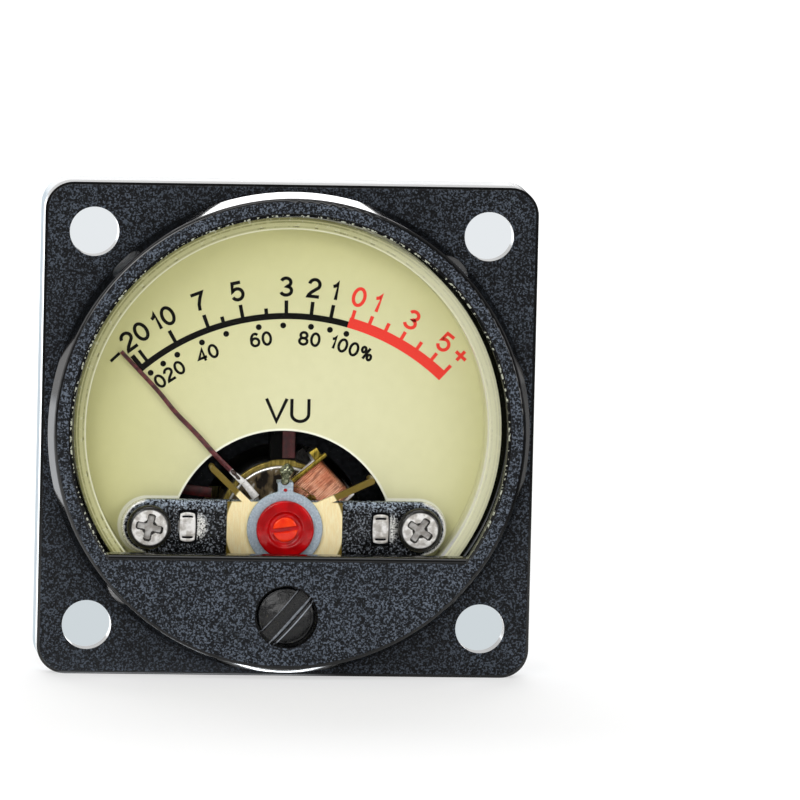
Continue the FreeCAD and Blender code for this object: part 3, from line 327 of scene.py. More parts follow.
def dial_lacquer():
    """Printed dial card with a warm yellow green coat.

    A painted pool of light lies on the coat. A painted glow makes its edge at the cut-out and a ring
    round the bracket's ends pale.
    """
    mat = surface("dial_lacquer", "#d6d69c", 0.5, IOR=1.45)
    node = partial(add, mat)
    x, _, z = parts(mat)
    fibre = grain(mat, 0.6, detail=4.0)
    tone = node("blend", node("times", node("ramp", fibre, 0.3, 0.7), 0.05), dial_tone_and_light_pool(mat), "#a6a66a")
    hole = node("minus", radius_about(mat, CUTOUT_RISE), CUTOUT_RADIUS)
    reach = node("most", node("minus", node("size", x), BRACKET_END), 0.0)
    drop = node("minus", z, PIVOT[2] - 0.1)
    around = node("minus", distance(mat, reach, drop), BRACKET_HALF_HEIGHT)
    # painted glow: pale rings at the cut-out's edge and round the bracket's ends
    painted_edge_glow = node("ramp", node("least", hole, around), 0.1, 0.2, 1.0, 0.0)
    feed(mat, "Base Color", node("blend", painted_edge_glow, tone, "#fafae4"))
    relief(mat, fibre, 0.003)
    return mat


def cream_rim():
    """Cream ABS surround: the dial's colour and painted light, painted highlights and painted dark lines.
    """
    mat = surface("cream_rim", "#d2d195", 0.3, IOR=1.5)
    node = partial(add, mat)
    x, y, _ = parts(mat)
    away = radius_about(mat)
    front = node("ramp", y, -4.3, -4.5)
    # lip: a painted highlight along the inner edge
    lip = node("times", node("ramp", away, 14.36, 14.47, 1.0, 0.0), front)
    speckles = grain(mat, 0.5, detail=3.0, roughness=0.7)
    tone = dial_tone_and_light_pool(mat)
    # painted dark lines, standing for the lens edges' reflections on the rim
    for inner, outer, shade, low in ((14.49, 14.57, "#77753f", 0.5), (14.84, 14.92, "#a5a367", 0.35),
                                     (15.04, 15.2, "#8c8a50", 0.3)):
        dark_line = node("times", node("ramp", away, inner - 0.03, inner),
                      node("ramp", away, outer, outer + 0.03, 1.0, 0.0))
        broken = node("times", dark_line, node("ramp", speckles, low, low + 0.15, 0.25, 0.9))
        tone = node("blend", node("times", broken, front), tone, shade)
    # painted glints near the inner edge
    glint = node("times", node("ramp", speckles, 0.58, 0.66), node("ramp", away, 14.55, 14.6))
    tone = node("blend", node("times", glint, 0.4), tone, "#f2f1d2")
    # painted light: the inner wall drawn white on the right, where light falls on it
    wall = node("minus", 1.0, facing_front(mat, 0.3, 0.7))
    for share in (node("ramp", away, 14.37, 14.4, 1.0, 0.0), node("ramp", x, 3.0, 9.0),
                  node("ramp", y, -2.6, -3.6, 0.25, 1.0)):
        wall = node("times", wall, share)
    tone = node("blend", wall, node("blend", lip, tone, "#f8f8dc"), "#ffffff")
    # painted light: the rim drawn paler towards the right
    pale = node("times", node("ramp", x, 3.0, 12.0, 0.0, 0.7), front)
    feed(mat, "Base Color", node("blend", pale, tone, "#f4f3d0"))
    relief(mat, grain(mat, 0.6, detail=3.0), 0.01, 0.6)
    return mat


def ink(name, colour):
    """Screen printed ink: dense, with a slightly uneven sheen."""
    mat = surface(name, colour, 0.5, IOR=1.45, Specular_IOR_Level=0.2)
    vary_gloss(mat, grain(mat, 0.25, detail=3.0), 0.45, 0.6)
    return mat


def mottled_dark_nickel():
    """Black nickel plate on steel: dark and orange peeled, with flecks of painted highlight.

    The painted highlights run together near the upper edge, beside the stakes and on the rounded ends.
    """
    mat = surface("mottled_dark_nickel", "#5c6068", 0.16, metallic=0.5)
    node = partial(add, mat)
    peel = grain(mat, 0.13, roughness=0.55)
    x, _, z = parts(mat)
    stake = node("least", node("size", node("minus", x, STAKE_REACH + 0.75)),
                 node("size", node("plus", x, STAKE_REACH - 0.75)))
    end = node("most", node("minus", node("size", x), BRACKET_END), 0.0)
    drop = node("minus", z, PIVOT[2])
    near = distance(mat, stake, node("times", drop, math.sqrt(0.5)))
    # painted highlights: glare beside the stakes, bluish sheen on the upper edge, bright rounded ends
    worn = node("ramp", near, 0.3, 0.9, 1.0, 0.0)
    upper = node("ramp", drop, 0.9, 1.8)
    rim = node("times", node("ramp", distance(mat, drop, end), 1.65, 1.85), node("ramp", end, 0.1, 0.5))
    lifted = peel
    for share, lift in ((upper, 0.09), (worn, 0.16), (rim, 0.35)):
        lifted = node("plus", lifted, node("times", share, lift))
    shine = node("blend", upper, node("blend", worn, "#7d838b", "#e6e5e0"), "#9aa6b4")
    mottle(mat, lifted, 0.51, 0.64, "#0b0c0e", node("blend", rim, shine, "#ecebe6"))
    vary_gloss(mat, peel, 0.12, 0.3)
    relief(mat, peel, 0.035)
    return mat


def bright_nickel():
    """Nickel plated steel: bright and softly uneven."""
    mat = surface("bright_nickel", "#d9d6d2", 0.2, metallic=0.1)
    wave = grain(mat, 0.45)
    mottle(mat, wave, 0.35, 0.65, "#bdb8b1", "#fbf9f6")
    vary_gloss(mat, wave, 0.12, 0.26)
    relief(mat, wave, 0.02)
    return mat


def rolled_rim_nickel():
    """The same nickel on a screw head, with painted shade on its rolled rim, recess walls and recess
    floor.
    """
    mat = bright_nickel()
    mat.name = "screw_head_nickel"
    node = partial(add, mat)
    x, y, z = parts(mat)
    across = node("minus", node("size", x), BRACKET_END)
    away = distance(mat, across, node("minus", z, PIVOT[2]))
    # painted shade: darker deeper in the recess, dark on its steep walls and on the rolled rim
    hollow = node("ramp", y, 0.1 - SCREW_TOP, 0.22 - SCREW_TOP)
    tone = node("blend", node("times", hollow, 0.45), colour_of(mat), "#6b6661")
    tone = node("blend", facing_front(mat, 0.55, 0.85), "#2b2926", tone)
    mottle(mat, away, 1.2, 1.3, tone, "#242321")
    return mat


def brushed_brass(name, colour, shade, brightness):
    """Rolled brass sheet: pale yellow metal with fine rolling lines across it."""
    mat = surface(name, colour, 0.34, metallic=brightness)
    node = partial(add, mat)
    lines = grain(mat, 0.12, detail=4.0, roughness=0.6, stretch=(1, 1, 7))
    stain = node("times", node("ramp", grain(mat, 0.9, detail=3.0), 0.55, 0.75), 0.35)
    tone = node("blend", node("ramp", lines, 0.4, 0.65), shade, colour)
    feed(mat, "Base Color", node("blend", stain, tone, shade))
    vary_gloss(mat, lines, 0.25, 0.45)
    relief(mat, lines, 0.012)
    return mat


def two_part_brass(name, colour, shade, brightness, reach, past, past_rough):
    """Rolled brass whose part beyond this distance from the pivot has another finish."""
    mat = brushed_brass(name, colour, shade, brightness)
    beyond = add(mat, "ramp", radius_about(mat, PIVOT[2]), reach - 0.06, reach + 0.06)
    feed(mat, "Base Color", add(mat, "blend", beyond, colour_of(mat), past))
    feed(mat, "Roughness", add(mat, "ramp", beyond, 0.0, 1.0, 0.3, past_rough))
    feed(mat, "Specular IOR Level", add(mat, "ramp", beyond, 0.0, 1.0, 0.5, 0.15))
    return mat


def grey_zinc():
    """Zinc plated, blue passivated steel lever: matt blue grey with a fine grain."""
    mat = surface("grey_zinc", "#a9b7c2", 0.5, metallic=0.35)
    frost = grain(mat, 0.13, detail=3.0, roughness=0.7)
    mottle(mat, frost, 0.35, 0.7, "#93a3b0", "#c3ced7")
    relief(mat, frost, 0.01)
    return mat


def red_lacquer(name, colour, dark):
    """Thread locking lacquer, brushed on by hand: glossy, deep red, pooled in the hollows."""
    mat = surface(name, colour, 0.12, IOR=1.45)
    pool = grain(mat, 0.9)
    mottle(mat, pool, 0.35, 0.7, dark, colour)
    relief(mat, pool, 0.05, 0.5)
    return mat


def black_gloss_nylon():
    """Black nylon adjusting screw, moulded and glossy, with painted highlight lines along its slot."""
    mat = surface("black_gloss_nylon", "#101114", 0.2, IOR=1.5, Coat_Weight=0.2, Coat_Roughness=0.12)
    node = partial(add, mat)
    scratch = grain(mat, 0.14, detail=4.0, roughness=0.75, stretch=(1, 1, 5))
    dent = grain(mat, 0.28, detail=3.0)
    x, _, z = parts(mat)
    turn = math.radians(ZERO_TURN)
    drop = node("minus", z, ZERO_SCREW[2])
    away = node("minus", node("times", x, math.cos(turn)), node("times", drop, math.sin(turn)))
    tone = node("blend", node("ramp", scratch, 0.6, 0.75), "#07080a", "#24272c")
    broken = node("ramp", dent, 0.3, 0.5, 0.3, 1.0)
    # painted highlights: bright lines along the slot's lit edges
    for line_place, strength in ((-0.6, 0.35), (0.46, 0.9), (0.76, 0.75)):
        off = node("size", node("minus", away, line_place))
        line = node("ramp", off, 0.025, 0.06, strength, 0.0)
        tone = node("blend", node("times", line, broken), tone, "#b4bac4")
    feed(mat, "Base Color", tone)
    vary_gloss(mat, dent, 0.1, 0.3)
    relief(mat, node("plus", scratch, dent), 0.045)
    return mat


def copper_enamel():
    """Enamelled copper wire: pink copper under clear lacquer, each few turns a little different."""
    mat = surface("copper_enamel", "#e59a72", 0.22, metallic=0.55, Coat_Weight=0.4, Coat_Roughness=0.1)
    node = partial(add, mat)
    rest = (0, math.radians(REST_TURN), 0)
    lines = node("noise", node("map", node("place"), (9, 1, 1), rest, vector_type="TEXTURE"), per_mm(0.14))
    tone = node("blend", node("ramp", grain(mat, 0.9), 0.3, 0.7), "#d98862", "#f8bb98")
    feed(mat, "Base Color", node("blend", node("ramp", lines, 0.5, 0.36, 0.0, 0.65), tone, "#7c4028"))
    return mat


def ground_magnet():
    """Ground magnet alloy with painted reflections: dark, brown and white patches and a bright chamfer."""
    mat = surface("ground_magnet_alloy", "#8d8b88", 0.18, metallic=0.6)
    node = partial(add, mat)
    cloud = grain(mat, 0.55, detail=3.0, stretch=(1, 1, 1.8))
    # painted reflections: dark, brown and white patches; the chamfer's bright ring is a painted highlight
    tone = node("blend", node("ramp", cloud, 0.42, 0.6), "#231c16", "#7d6c50")
    tone = node("blend", node("ramp", cloud, 0.6, 0.7), tone, "#f0eee8")
    mottle(mat, radius_about(mat, PIVOT[2]), 3.9, 4.05, tone, "#f7f6f2")
    relief(mat, cloud, 0.02)
    return mat


def painted_aluminium():
    """Aluminium pointer, painted maroon from 5.4 mm outwards and bare nearer the pivot."""
    mat = surface("maroon_painted_aluminium", "#5d2529", 0.28, IOR=1.5)
    streak = grain(mat, 0.35)
    paint = add(mat, "blend", add(mat, "ramp", streak, 0.4, 0.65), "#3d1416", "#68292d")
    mottle(mat, radius_about(mat, PIVOT[2]), 5.25, 5.5, "#f2f1ee", paint)
    relief(mat, streak, 0.01)
    return mat


def plain_metal(name, colour, shade, roughness, size=0.3, metallic=1.0):
    """Turned or drawn metal with a faint uneven lustre."""
    mat = surface(name, colour, roughness, metallic=metallic)
    lustre = grain(mat, size, detail=3.0)
    mottle(mat, lustre, 0.35, 0.7, shade, colour)
    vary_gloss(mat, lustre, roughness * 0.7, roughness * 1.3)
    relief(mat, lustre, 0.01)
    return mat


def plain_plastic(name, colour, shade, roughness, size=0.4, depth=0.01):
    """Moulded or laminated plastic with a faint texture."""
    mat = surface(name, colour, roughness, IOR=1.5)
    texture = grain(mat, size, detail=3.0)
    mottle(mat, texture, 0.3, 0.7, shade, colour)
    relief(mat, texture, depth)
    return mat


MATERIALS = {
    "black_abs": sanded_black_abs(),
    "clear": clear_polycarbonate(),
    "case_abs": plain_plastic("black_abs_case", "#1a1b1e", "#121315", 0.42, 0.2, 0.02),
    "dial": dial_lacquer(),
    "rim": cream_rim(),
    "milky": plain_plastic("milky_acrylic", "#e9ead9", "#dcddc8", 0.35),
    "board": plain_plastic("circuit_board", "#1f4a33", "#173a28", 0.4),
    "lamp": plain_plastic("lamp_package", "#efe9c8", "#e2d9a6", 0.3),
    "dark_nickel": mottled_dark_nickel(),
    "nickel": bright_nickel(),
    "screw_head": rolled_rim_nickel(),
    "brass": brushed_brass("rolled_brass", "#eadb9e", "#cdb974", 0.6),
    "olive_brass": brushed_brass("tarnished_brass", "#a8923a", "#6d5e22", 0.9),
    "bridge_brass": two_part_brass("rolled_brass_bridge", "#fff0c0", "#fae4aa", 0.0, 4.2, "#6f5e26", 0.3),
    # the core frame's arms beyond 4.56 mm are painted black as shade in the deep cavity
    "core_brass": two_part_brass("brass_with_painted_shade", "#b8a250", "#7d6c2c", 0.5, 4.56, "#030303", 0.7),
    "iron": plain_metal("black_oxide_iron", "#1b1c1f", "#101113", 0.4),
    "magnet": ground_magnet(),
    "aluminium": plain_metal("soft_aluminium", "#fbfaf8", "#e6e4e2", 0.3, metallic=0.15),
    "steel": plain_metal("pivot_steel", "#b9bcc0", "#8f9296", 0.2),
    "bronze": plain_metal("phosphor_bronze", "#b98a55", "#8d6437", 0.3),
    "tinned": plain_metal("tinned_brass", "#d5d6d2", "#b2b3ac", 0.3),
    "zinc": grey_zinc(),
    "nut_red": red_lacquer("deep_red_lacquer", "#c8060d", "#a00308"),
    "screw_red": red_lacquer("orange_red_lacquer", "#ff4210", "#f02206"),
    "zero_screw": black_gloss_nylon(),
    "solder": plain_metal("tin_solder", "#a5a88c", "#3d4129", 0.14, 0.35, metallic=0.8),
    "copper": copper_enamel(),
    "tape": plain_plastic("dark_red_strip", "#4a0709", "#2b0405", 0.5),
    "glue": plain_plastic("amber_glue", "#4a3a34", "#261c18", 0.12, 0.2, 0.02),
    "enamel": plain_plastic("red_enamelled_wire", "#6b1a1c", "#4c1012", 0.25),
    "pointer": painted_aluminium(),
    "black_ink": ink("black_ink", "#0b0a06"),
    "red_ink": ink("red_ink", "#ef3f33"),
}

NODE_MATERIALS = {
    "front_bezel": "black_abs", "clear_cover": "clear", "rear_case": "case_abs",
    "dial_frame": "rim", "dial_plate": "dial", "diffuser": "milky", "lamp_board": "board",
    "lamp_leds": "lamp", "lamp_terminals": "tinned", "signal_terminals": "tinned",
    "front_bracket": "dark_nickel", "bracket_screws": "nickel", "yoke_ring": "iron",
    "core_magnet": "magnet", "core_frame": "olive_brass", "front_bridge": "brass",
    "front_jewel_screw": "screw_red", "front_lock_nut": "nut_red", "rear_bridge": "brass",
    "rear_jewel_screw": "olive_brass", "rear_lock_nut": "olive_brass",
    "rear_spring_anchor": "olive_brass", "rear_hairspring": "bronze", "coil_leads": "enamel",
    "coil_former": "aluminium", "coil_winding": "copper", "pointer": "pointer",
    "pointer_seat": "aluminium", "balance_weights": "olive_brass", "front_pivot": "steel",
    "rear_pivot": "steel", "front_collet": "olive_brass", "rear_collet": "olive_brass",
    "zero_adjust_screw": "zero_screw", "zero_crank": "zero_screw", "zero_lever": "zinc",
    "spring_solder": "solder", "front_hairspring": "bronze",
}


def finish_nodes():
    """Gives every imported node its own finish."""
    for node, key in NODE_MATERIALS.items():
        for place_for in frame["nodes"][node].material_slots:
            place_for.material = MATERIALS[key]


# Meshes


def make_piece(name, points, faces, material, body, slot, smooth=True):
    """A mesh piece from points in millimetres as (x, forward, z) and its faces."""
    points = np.asarray(points, float)
    places = np.stack([points[:, 0], -points[:, 1], points[:, 2]], axis=1) * MM
    mesh = bpy.data.meshes.new(name)
    mesh.from_pydata(places.tolist(), [], faces)
    mesh.polygons.foreach_set("use_smooth", [smooth] * len(mesh.polygons))
    if smooth:
        mesh.set_sharp_from_angle(angle=math.radians(50))
    piece = bpy.data.objects.new(name, mesh)
    bpy.context.scene.collection.objects.link(piece)
    piece.data.materials.append(MATERIALS[material])
    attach(piece, body)
    return piece


def join_shapes(shapes):
    """Puts several (points, faces) shapes into one."""
    points = []
    faces = []
    start = 0
    for shape_points, shape_faces in shapes:
        points.append(np.asarray(shape_points, float))
        faces += [[index + start for index in face] for face in shape_faces]
        start += len(shape_points)
    return np.concatenate(points), faces


def grid_faces(rows, columns, wrap_rows=False, wrap_columns=False):
    """Four sided faces over a grid of points stored row by row."""
    index = np.arange(rows * columns).reshape(rows, columns)
    if wrap_rows:
        index = np.concatenate([index, index[:1]], axis=0)
    if wrap_columns:
        index = np.concatenate([index, index[:, :1]], axis=1)
    quads = [index[:-1, :-1], index[:-1, 1:], index[1:, 1:], index[1:, :-1]]
    return np.stack(quads, axis=-1).reshape(-1, 4).tolist()


def capped_rings(rings, poles):
    """A closed shape from rows of rings of points, with a fan of faces to a pole at each end."""
    rows, count = rings.shape[:2]
    ring = np.arange(count)
    after = np.roll(ring, -1)
    last = (rows - 1) * count
    pole = np.full(count, rows * count)
    faces = grid_faces(rows, count, wrap_columns=True)
    faces += np.stack([after, ring, pole], axis=-1).tolist()
    faces += np.stack([ring + last, after + last, pole + 1], axis=-1).tolist()
    return np.concatenate([rings.reshape(-1, 3), poles]), faces


def turned(profile, centre, count=96, relief=None):
    """A closed solid of revolution about an axis that runs forward.

    The profile is (radius, forward) from the back pole round to the front pole; relief, if given,
    returns the new forward place of a point from its radius, turn and forward place.
    """
    profile = np.asarray(profile, float)
    turns = np.linspace(0, 2 * math.pi, count, endpoint=False)
    radius, turn = np.meshgrid(profile[1:-1, 0], turns, indexing="ij")
    forward = np.repeat(profile[1:-1, 1][:, None], count, axis=1)
    poles = np.array([profile[0, 1], profile[-1, 1]])
    if relief is not None:
        forward = relief(radius, turn, forward)
        poles[1] = relief(np.zeros(1), np.zeros(1), poles[1:])[0]
    places = [centre[0] + radius * np.sin(turn), forward, centre[1] + radius * np.cos(turn)]
    ends = [[centre[0], pole, centre[1]] for pole in poles]
    return capped_rings(np.stack(places, axis=-1), ends)


def rounding(radius, top, edge, steps=6):
    """Quarter round (radius, forward) points from a wall at this radius up to a face at top."""
    turns = np.linspace(0, math.pi / 2, steps)
    return np.column_stack([radius - edge + edge * np.cos(turns), top - edge + edge * np.sin(turns)])


def tube(path, radius, sides=8):
    """A round tube of this radius along a path of (x, forward, z) points, with flat ends."""
    path = np.asarray(path, float)
    ahead = np.gradient(path, axis=0)
    ahead /= np.linalg.norm(ahead, axis=1)[:, None]
    flat = np.where(np.abs(ahead[:, 1:2]) < 0.9, [[0.0, 1.0, 0.0]], [[1.0, 0.0, 0.0]])
    side = np.cross(ahead, flat)
    side /= np.linalg.norm(side, axis=1)[:, None]
    over = np.cross(side, ahead)
    turns = np.linspace(0, 2 * math.pi, sides, endpoint=False)
    rings = path[:, None] + radius * (np.cos(turns)[:, None] * side[:, None]
                                      + np.sin(turns)[:, None] * over[:, None])
    last = (len(path) - 1) * sides
    faces = grid_faces(len(path), sides, wrap_columns=True)
    faces += [list(range(sides))[::-1], list(range(last, last + sides))]
    return rings.reshape(-1, 3), faces


def smooth_step(value, low, high):
    """0 below low, 1 above high and a smooth rise between."""
    part = np.clip((value - low) / (high - low), 0, 1)
    return part * part * (3 - 2 * part)


# Print on the dial


def ribbon(line, width, lift, closed=False):
    """A printed stroke of even width along (x, z) points, as a thin closed solid on the dial.

    Corners are mitred: each edge point lies along the mean of the two normals beside it.
    """
    line = np.asarray(line, float)
    steps = np.diff(np.concatenate([line, line[:1]]) if closed else line, axis=0)
    steps /= np.linalg.norm(steps, axis=1)[:, None]
    before = np.roll(steps, 1, axis=0) if closed else np.concatenate([steps[:1], steps])
    after = steps if closed else np.concatenate([steps, steps[-1:]])
    mean = before + after
    mean /= np.linalg.norm(mean, axis=1)[:, None]
    stretch = 1 / np.clip(np.sum(mean * after, axis=1), 0.5, 1)
    side = np.column_stack([-mean[:, 1], mean[:, 0]]) * (width / 2 * stretch)[:, None]
    return plate_between(line - side, line + side, lift, closed)


def plate_between(right, left, lift, closed=False):
    """A thin solid on the dial between two edge lines of (x, z) points."""
    count = len(right)
    foot = DIAL_FRONT + 0.002
    rows = [(right, foot), (right, DIAL_FRONT + lift), (left, DIAL_FRONT + lift), (left, foot)]
    points = [np.column_stack([line[:, 0], np.full(count, level), line[:, 1]]) for line, level in rows]
    index = np.arange(4 * count).reshape(4, count)
    faces = grid_faces(4, count, wrap_rows=True, wrap_columns=closed)
    if not closed:
        faces += [index[:, 0].tolist(), index[::-1, -1].tolist()]
    return np.concatenate(points), faces


def on_scale(angle, radius):
    """A dial place from its angle right of straight up and its distance from the scale's centre."""
    turn = np.radians(angle)
    return SCALE_CENTRE + np.stack([radius * np.sin(turn), radius * np.cos(turn)], axis=-1)


def scale_band(start, end, depth, count=72):
    """A printed arc between two angles, depth thick outwards from the scale's radius."""
    turns = np.linspace(start, end, count)
    inner = on_scale(turns, SCALE_RADIUS)
    outer = on_scale(turns, SCALE_RADIUS + depth)
    return plate_between(inner, outer, INK_LIFT)


def scale_tick(angle, tip, width, band):
    """A printed tick from just inside a band's outer edge to its tip."""
    foot = SCALE_RADIUS + band - 0.05
    return ribbon([on_scale(angle, foot), on_scale(angle, tip)], width, INK_LIFT + 0.003)


def scale_dot(angle, radius=0.21, count=20):
    """A printed round dot under the arc."""
    turns = np.linspace(0, 2 * math.pi, count, endpoint=False)
    ring = radius / 2 * np.column_stack([np.cos(turns), np.sin(turns)])
    return ribbon(on_scale(angle, DOT_RADIUS) + ring, radius * 0.98, INK_LIFT, closed=True)


def bow(x, z, wide, high, start, end, count=18):
    """Part of an oval from one angle to another, in degrees left of straight right."""
    turns = np.radians(np.linspace(start, end, count))
    return np.column_stack([x + wide * np.cos(turns), z + high * np.sin(turns)])


def stretch_line(*corners):
    """A line through a few corners."""
    return np.array(corners, float)


# stencil figures as strokes in a box one unit high, each centred across
STENCIL = {
    "0": [bow(0, 0.5, 0.3, 0.5, 90, 450, 36)],
    "1": [stretch_line((-0.17, 0.76), (-0.06, 0.8), (0.03, 0.88), (0.08, 1), (0.08, 0))],
    "2": [np.concatenate([bow(0, 0.71, 0.28, 0.29, 175, -38),
                          [(-0.14, 0.24), (-0.27, 0.08), (-0.3, 0), (0.3, 0)]])],
    "3": [np.concatenate([bow(0, 0.755, 0.26, 0.245, 160, -80), bow(0, 0.26, 0.3, 0.26, 80, -160)])],
    "4": [stretch_line((0.13, 0), (0.13, 1), (-0.33, 0.3), (0.32, 0.3))],
    "5": [np.concatenate([[(0.26, 1), (-0.19, 1), (-0.25, 0.52)], bow(0, 0.325, 0.3, 0.325, 138, -155)])],
    "6": [bow(0, 0.31, 0.29, 0.31, 90, 450, 30), bow(0.02, 0.5, 0.31, 0.5, 50, 200)],
    "7": [stretch_line((-0.31, 1), (0.31, 1), (0.12, 0.68), (-0.02, 0.36), (-0.08, 0))],
    "8": [bow(0, 0.755, 0.25, 0.245, 90, 450, 28), bow(0, 0.265, 0.3, 0.265, 90, 450, 30)],
    "%": [bow(-0.27, 0.75, 0.15, 0.22, 90, 450, 20), bow(0.27, 0.25, 0.15, 0.22, 90, 450, 20),
          stretch_line((-0.17, 0), (0.17, 1))],
    "+": [stretch_line((-0.36, 0.5), (0.36, 0.5)), stretch_line((0, 0.14), (0, 0.86))],
    "-": [stretch_line((-0.34, 0.5), (0.34, 0.5))],
    "V": [stretch_line((-0.42, 1), (0, 0), (0.42, 1))],
    "U": [np.concatenate([[(-0.35, 1)], bow(0, 0.33, 0.35, 0.33, 180, 360), [(0.35, 1)]])],
}
SPACE_TAKEN = {"1": 0.62, "%": 1.25}
WIDENED = 1.08


def stencil_words(words, centre, tilt, height, width, spacing):
    """Figures side by side, centred at (x, z) and tilted clockwise, as printed strokes."""
    rise = height - width
    steps = np.array([SPACE_TAKEN.get(letter, 1.0) for letter in words]) * spacing
    starts = np.cumsum(steps) - steps / 2 - steps.sum() / 2
    turn = math.radians(tilt)
    across = np.array([math.cos(turn), -math.sin(turn)])
    up = np.array([math.sin(turn), math.cos(turn)])
    shapes = []
    for letter, start in zip(words, starts):
        for order, stroke in enumerate(STENCIL[letter]):
            closed = bool(np.allclose(stroke[0], stroke[-1]))
            line = stroke[:-1] if closed else stroke
            flat = np.outer(line[:, 0] * WIDENED + start, across) + np.outer(line[:, 1] - 0.5, up)
            shapes.append(ribbon(flat * rise + centre, width, INK_LIFT + 0.003 * order, closed))
    return shapes


def figures_along(entries, radius, height, width, spacing):
    """Figures set round the scale, each entry its text and its angle."""
    shapes = []
    for words, angle in entries:
        shapes += stencil_words(words, on_scale(angle, radius), angle, height, width, spacing)
    return shapes


BLACK_TICKS = [
    (-40.4, LONG_TICK, 0.34), (-38.35, LONG_TICK, 0.24), (-29.8, LONG_TICK, 0.26),
    (-20.8, LONG_TICK, 0.26), (-16.8, SHORT_TICK, 0.26), (-11.8, LONG_TICK, 0.26),
    (-5.8, SHORT_TICK, 0.26), (-0.8, LONG_TICK, 0.26), (5.5, LONG_TICK, 0.26),
    (10.5, LONG_TICK, 0.26),
]
RED_TICKS = [15.75, 20.2, 24.5, 28.9, 33.5, 38.0, 42.45]
BLACK_UPPER = [("20", -37.2), ("10", -29.6), ("7", -20.9), ("5", -12.0), ("3", -0.9),
               ("2", 5.5), ("1", 10.3)]
RED_UPPER = [("0", 15.8), ("1", 20.2), ("3", 28.8), ("5", 37.9), ("+", 42.6)]
LOWER = [("0", -38.9), ("20", -34.0), ("40", -23.4), ("60", -7.9), ("80", 5.8), ("100%", 18.1)]
DOTS = [-39.5, -35.4, -31.0, -23.7, -16.9, -8.1, -1.6, 5.8, 10.9, 15.4]
BAND_LEFT = -41.2
BAND_JOIN = 15.1
BAND_RIGHT = 42.9
UNIT_PLACE = np.array([0.27, 1.12])


def make_dial_seat():
    """A fine bead of cream lacquer that seals the dial plate to its surround."""
    turns = np.radians(np.linspace(-38, 218, 200))
    radius = 14.33
    path = np.column_stack([radius * np.cos(turns), np.full(len(turns), DIAL_FRONT + 0.02),
                            radius * np.sin(turns)])
    make_piece("dial_seat", *tube(path, 0.07), "rim", "case", "cream_plastic")


def print_dial():
    """The scale in black and red: arcs, ticks, dots, plain figures and the unit."""
    black = [scale_band(BAND_LEFT, BAND_JOIN, BLACK_BAND)]
    black += [scale_tick(angle, tip, width, BLACK_BAND) for angle, tip, width in BLACK_TICKS]
    black += [scale_dot(angle) for angle in DOTS]
    red = [scale_band(BAND_JOIN, BAND_RIGHT, RED_BAND)]
    red += [scale_tick(angle, LONG_TICK, 0.25, RED_BAND) for angle in RED_TICKS]
    black += figures_along([("-", -43.6)], MINUS_RADIUS, 1.4, 0.21, 0.95)
    black += figures_along(BLACK_UPPER, UPPER_FIGURES, 1.45, 0.24, 0.94)
    black += figures_along(LOWER, LOWER_FIGURES, 1.05, 0.19, 0.98)
    black += stencil_words("VU", UNIT_PLACE, 0.0, 1.84, 0.23, 1.05)
    red += figures_along(RED_UPPER, UPPER_FIGURES, 1.45, 0.24, 0.94)
    make_piece("dial_print_black", *join_shapes(black), "black_ink", "case", "dial_paint", smooth=False)
    make_piece("dial_print_red", *join_shapes(red), "red_ink", "case", "dial_paint", smooth=False)


# Movement


def smoothed_copy(node, body, material, width):
    """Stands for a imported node: its own shape with merged faces and slightly rounded edges."""
    mesh = bmesh.new()
    mesh.from_mesh(frame["nodes"][node].data)
    bmesh.ops.remove_doubles(mesh, verts=mesh.verts, dist=0.002 * MM)
    bmesh.ops.dissolve_limit(mesh, angle_limit=math.radians(0.5), verts=mesh.verts, edges=mesh.edges)
    data = bpy.data.meshes.new(node + "_finished")
    mesh.to_mesh(data)
    mesh.free()
    data.polygons.foreach_set("use_smooth", [True] * len(data.polygons))
    piece = bpy.data.objects.new(node + "_finished", data)
    bpy.context.scene.collection.objects.link(piece)
    data.materials.clear()
    data.materials.append(MATERIALS[material])
    bevel = piece.modifiers.new("edges", "BEVEL")
    bevel.width = width * MM
    bevel.segments = 2
    bevel.limit_method = "ANGLE"
    bevel.angle_limit = math.radians(40)
    bevel.harden_normals = True
    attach(piece, body)
    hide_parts(node)
    return piece


BRACKET_EDGE = 0.22


def bracket_height(x, z):
    """Forward place of the bracket's plated face: gently uneven, raised round the staked slots."""
    wave = 0.012 * np.sin(1.9 * x + 0.7 * z) + 0.010 * np.sin(2.3 * z - 1.1 * x + 1.0)
    lift = np.zeros_like(x)
    for side in (-1, 1):
        across = (x - side * STAKE_REACH) / 0.92
        along = (z - PIVOT[2]) / 1.45
        away = np.sqrt(across ** 2 + along ** 2)
        lift += 0.085 * np.exp(-((away - 1.0) / 0.24) ** 2) - 0.03 * np.exp(-(away / 0.7) ** 2)
    return BRACKET_FRONT + wave + lift


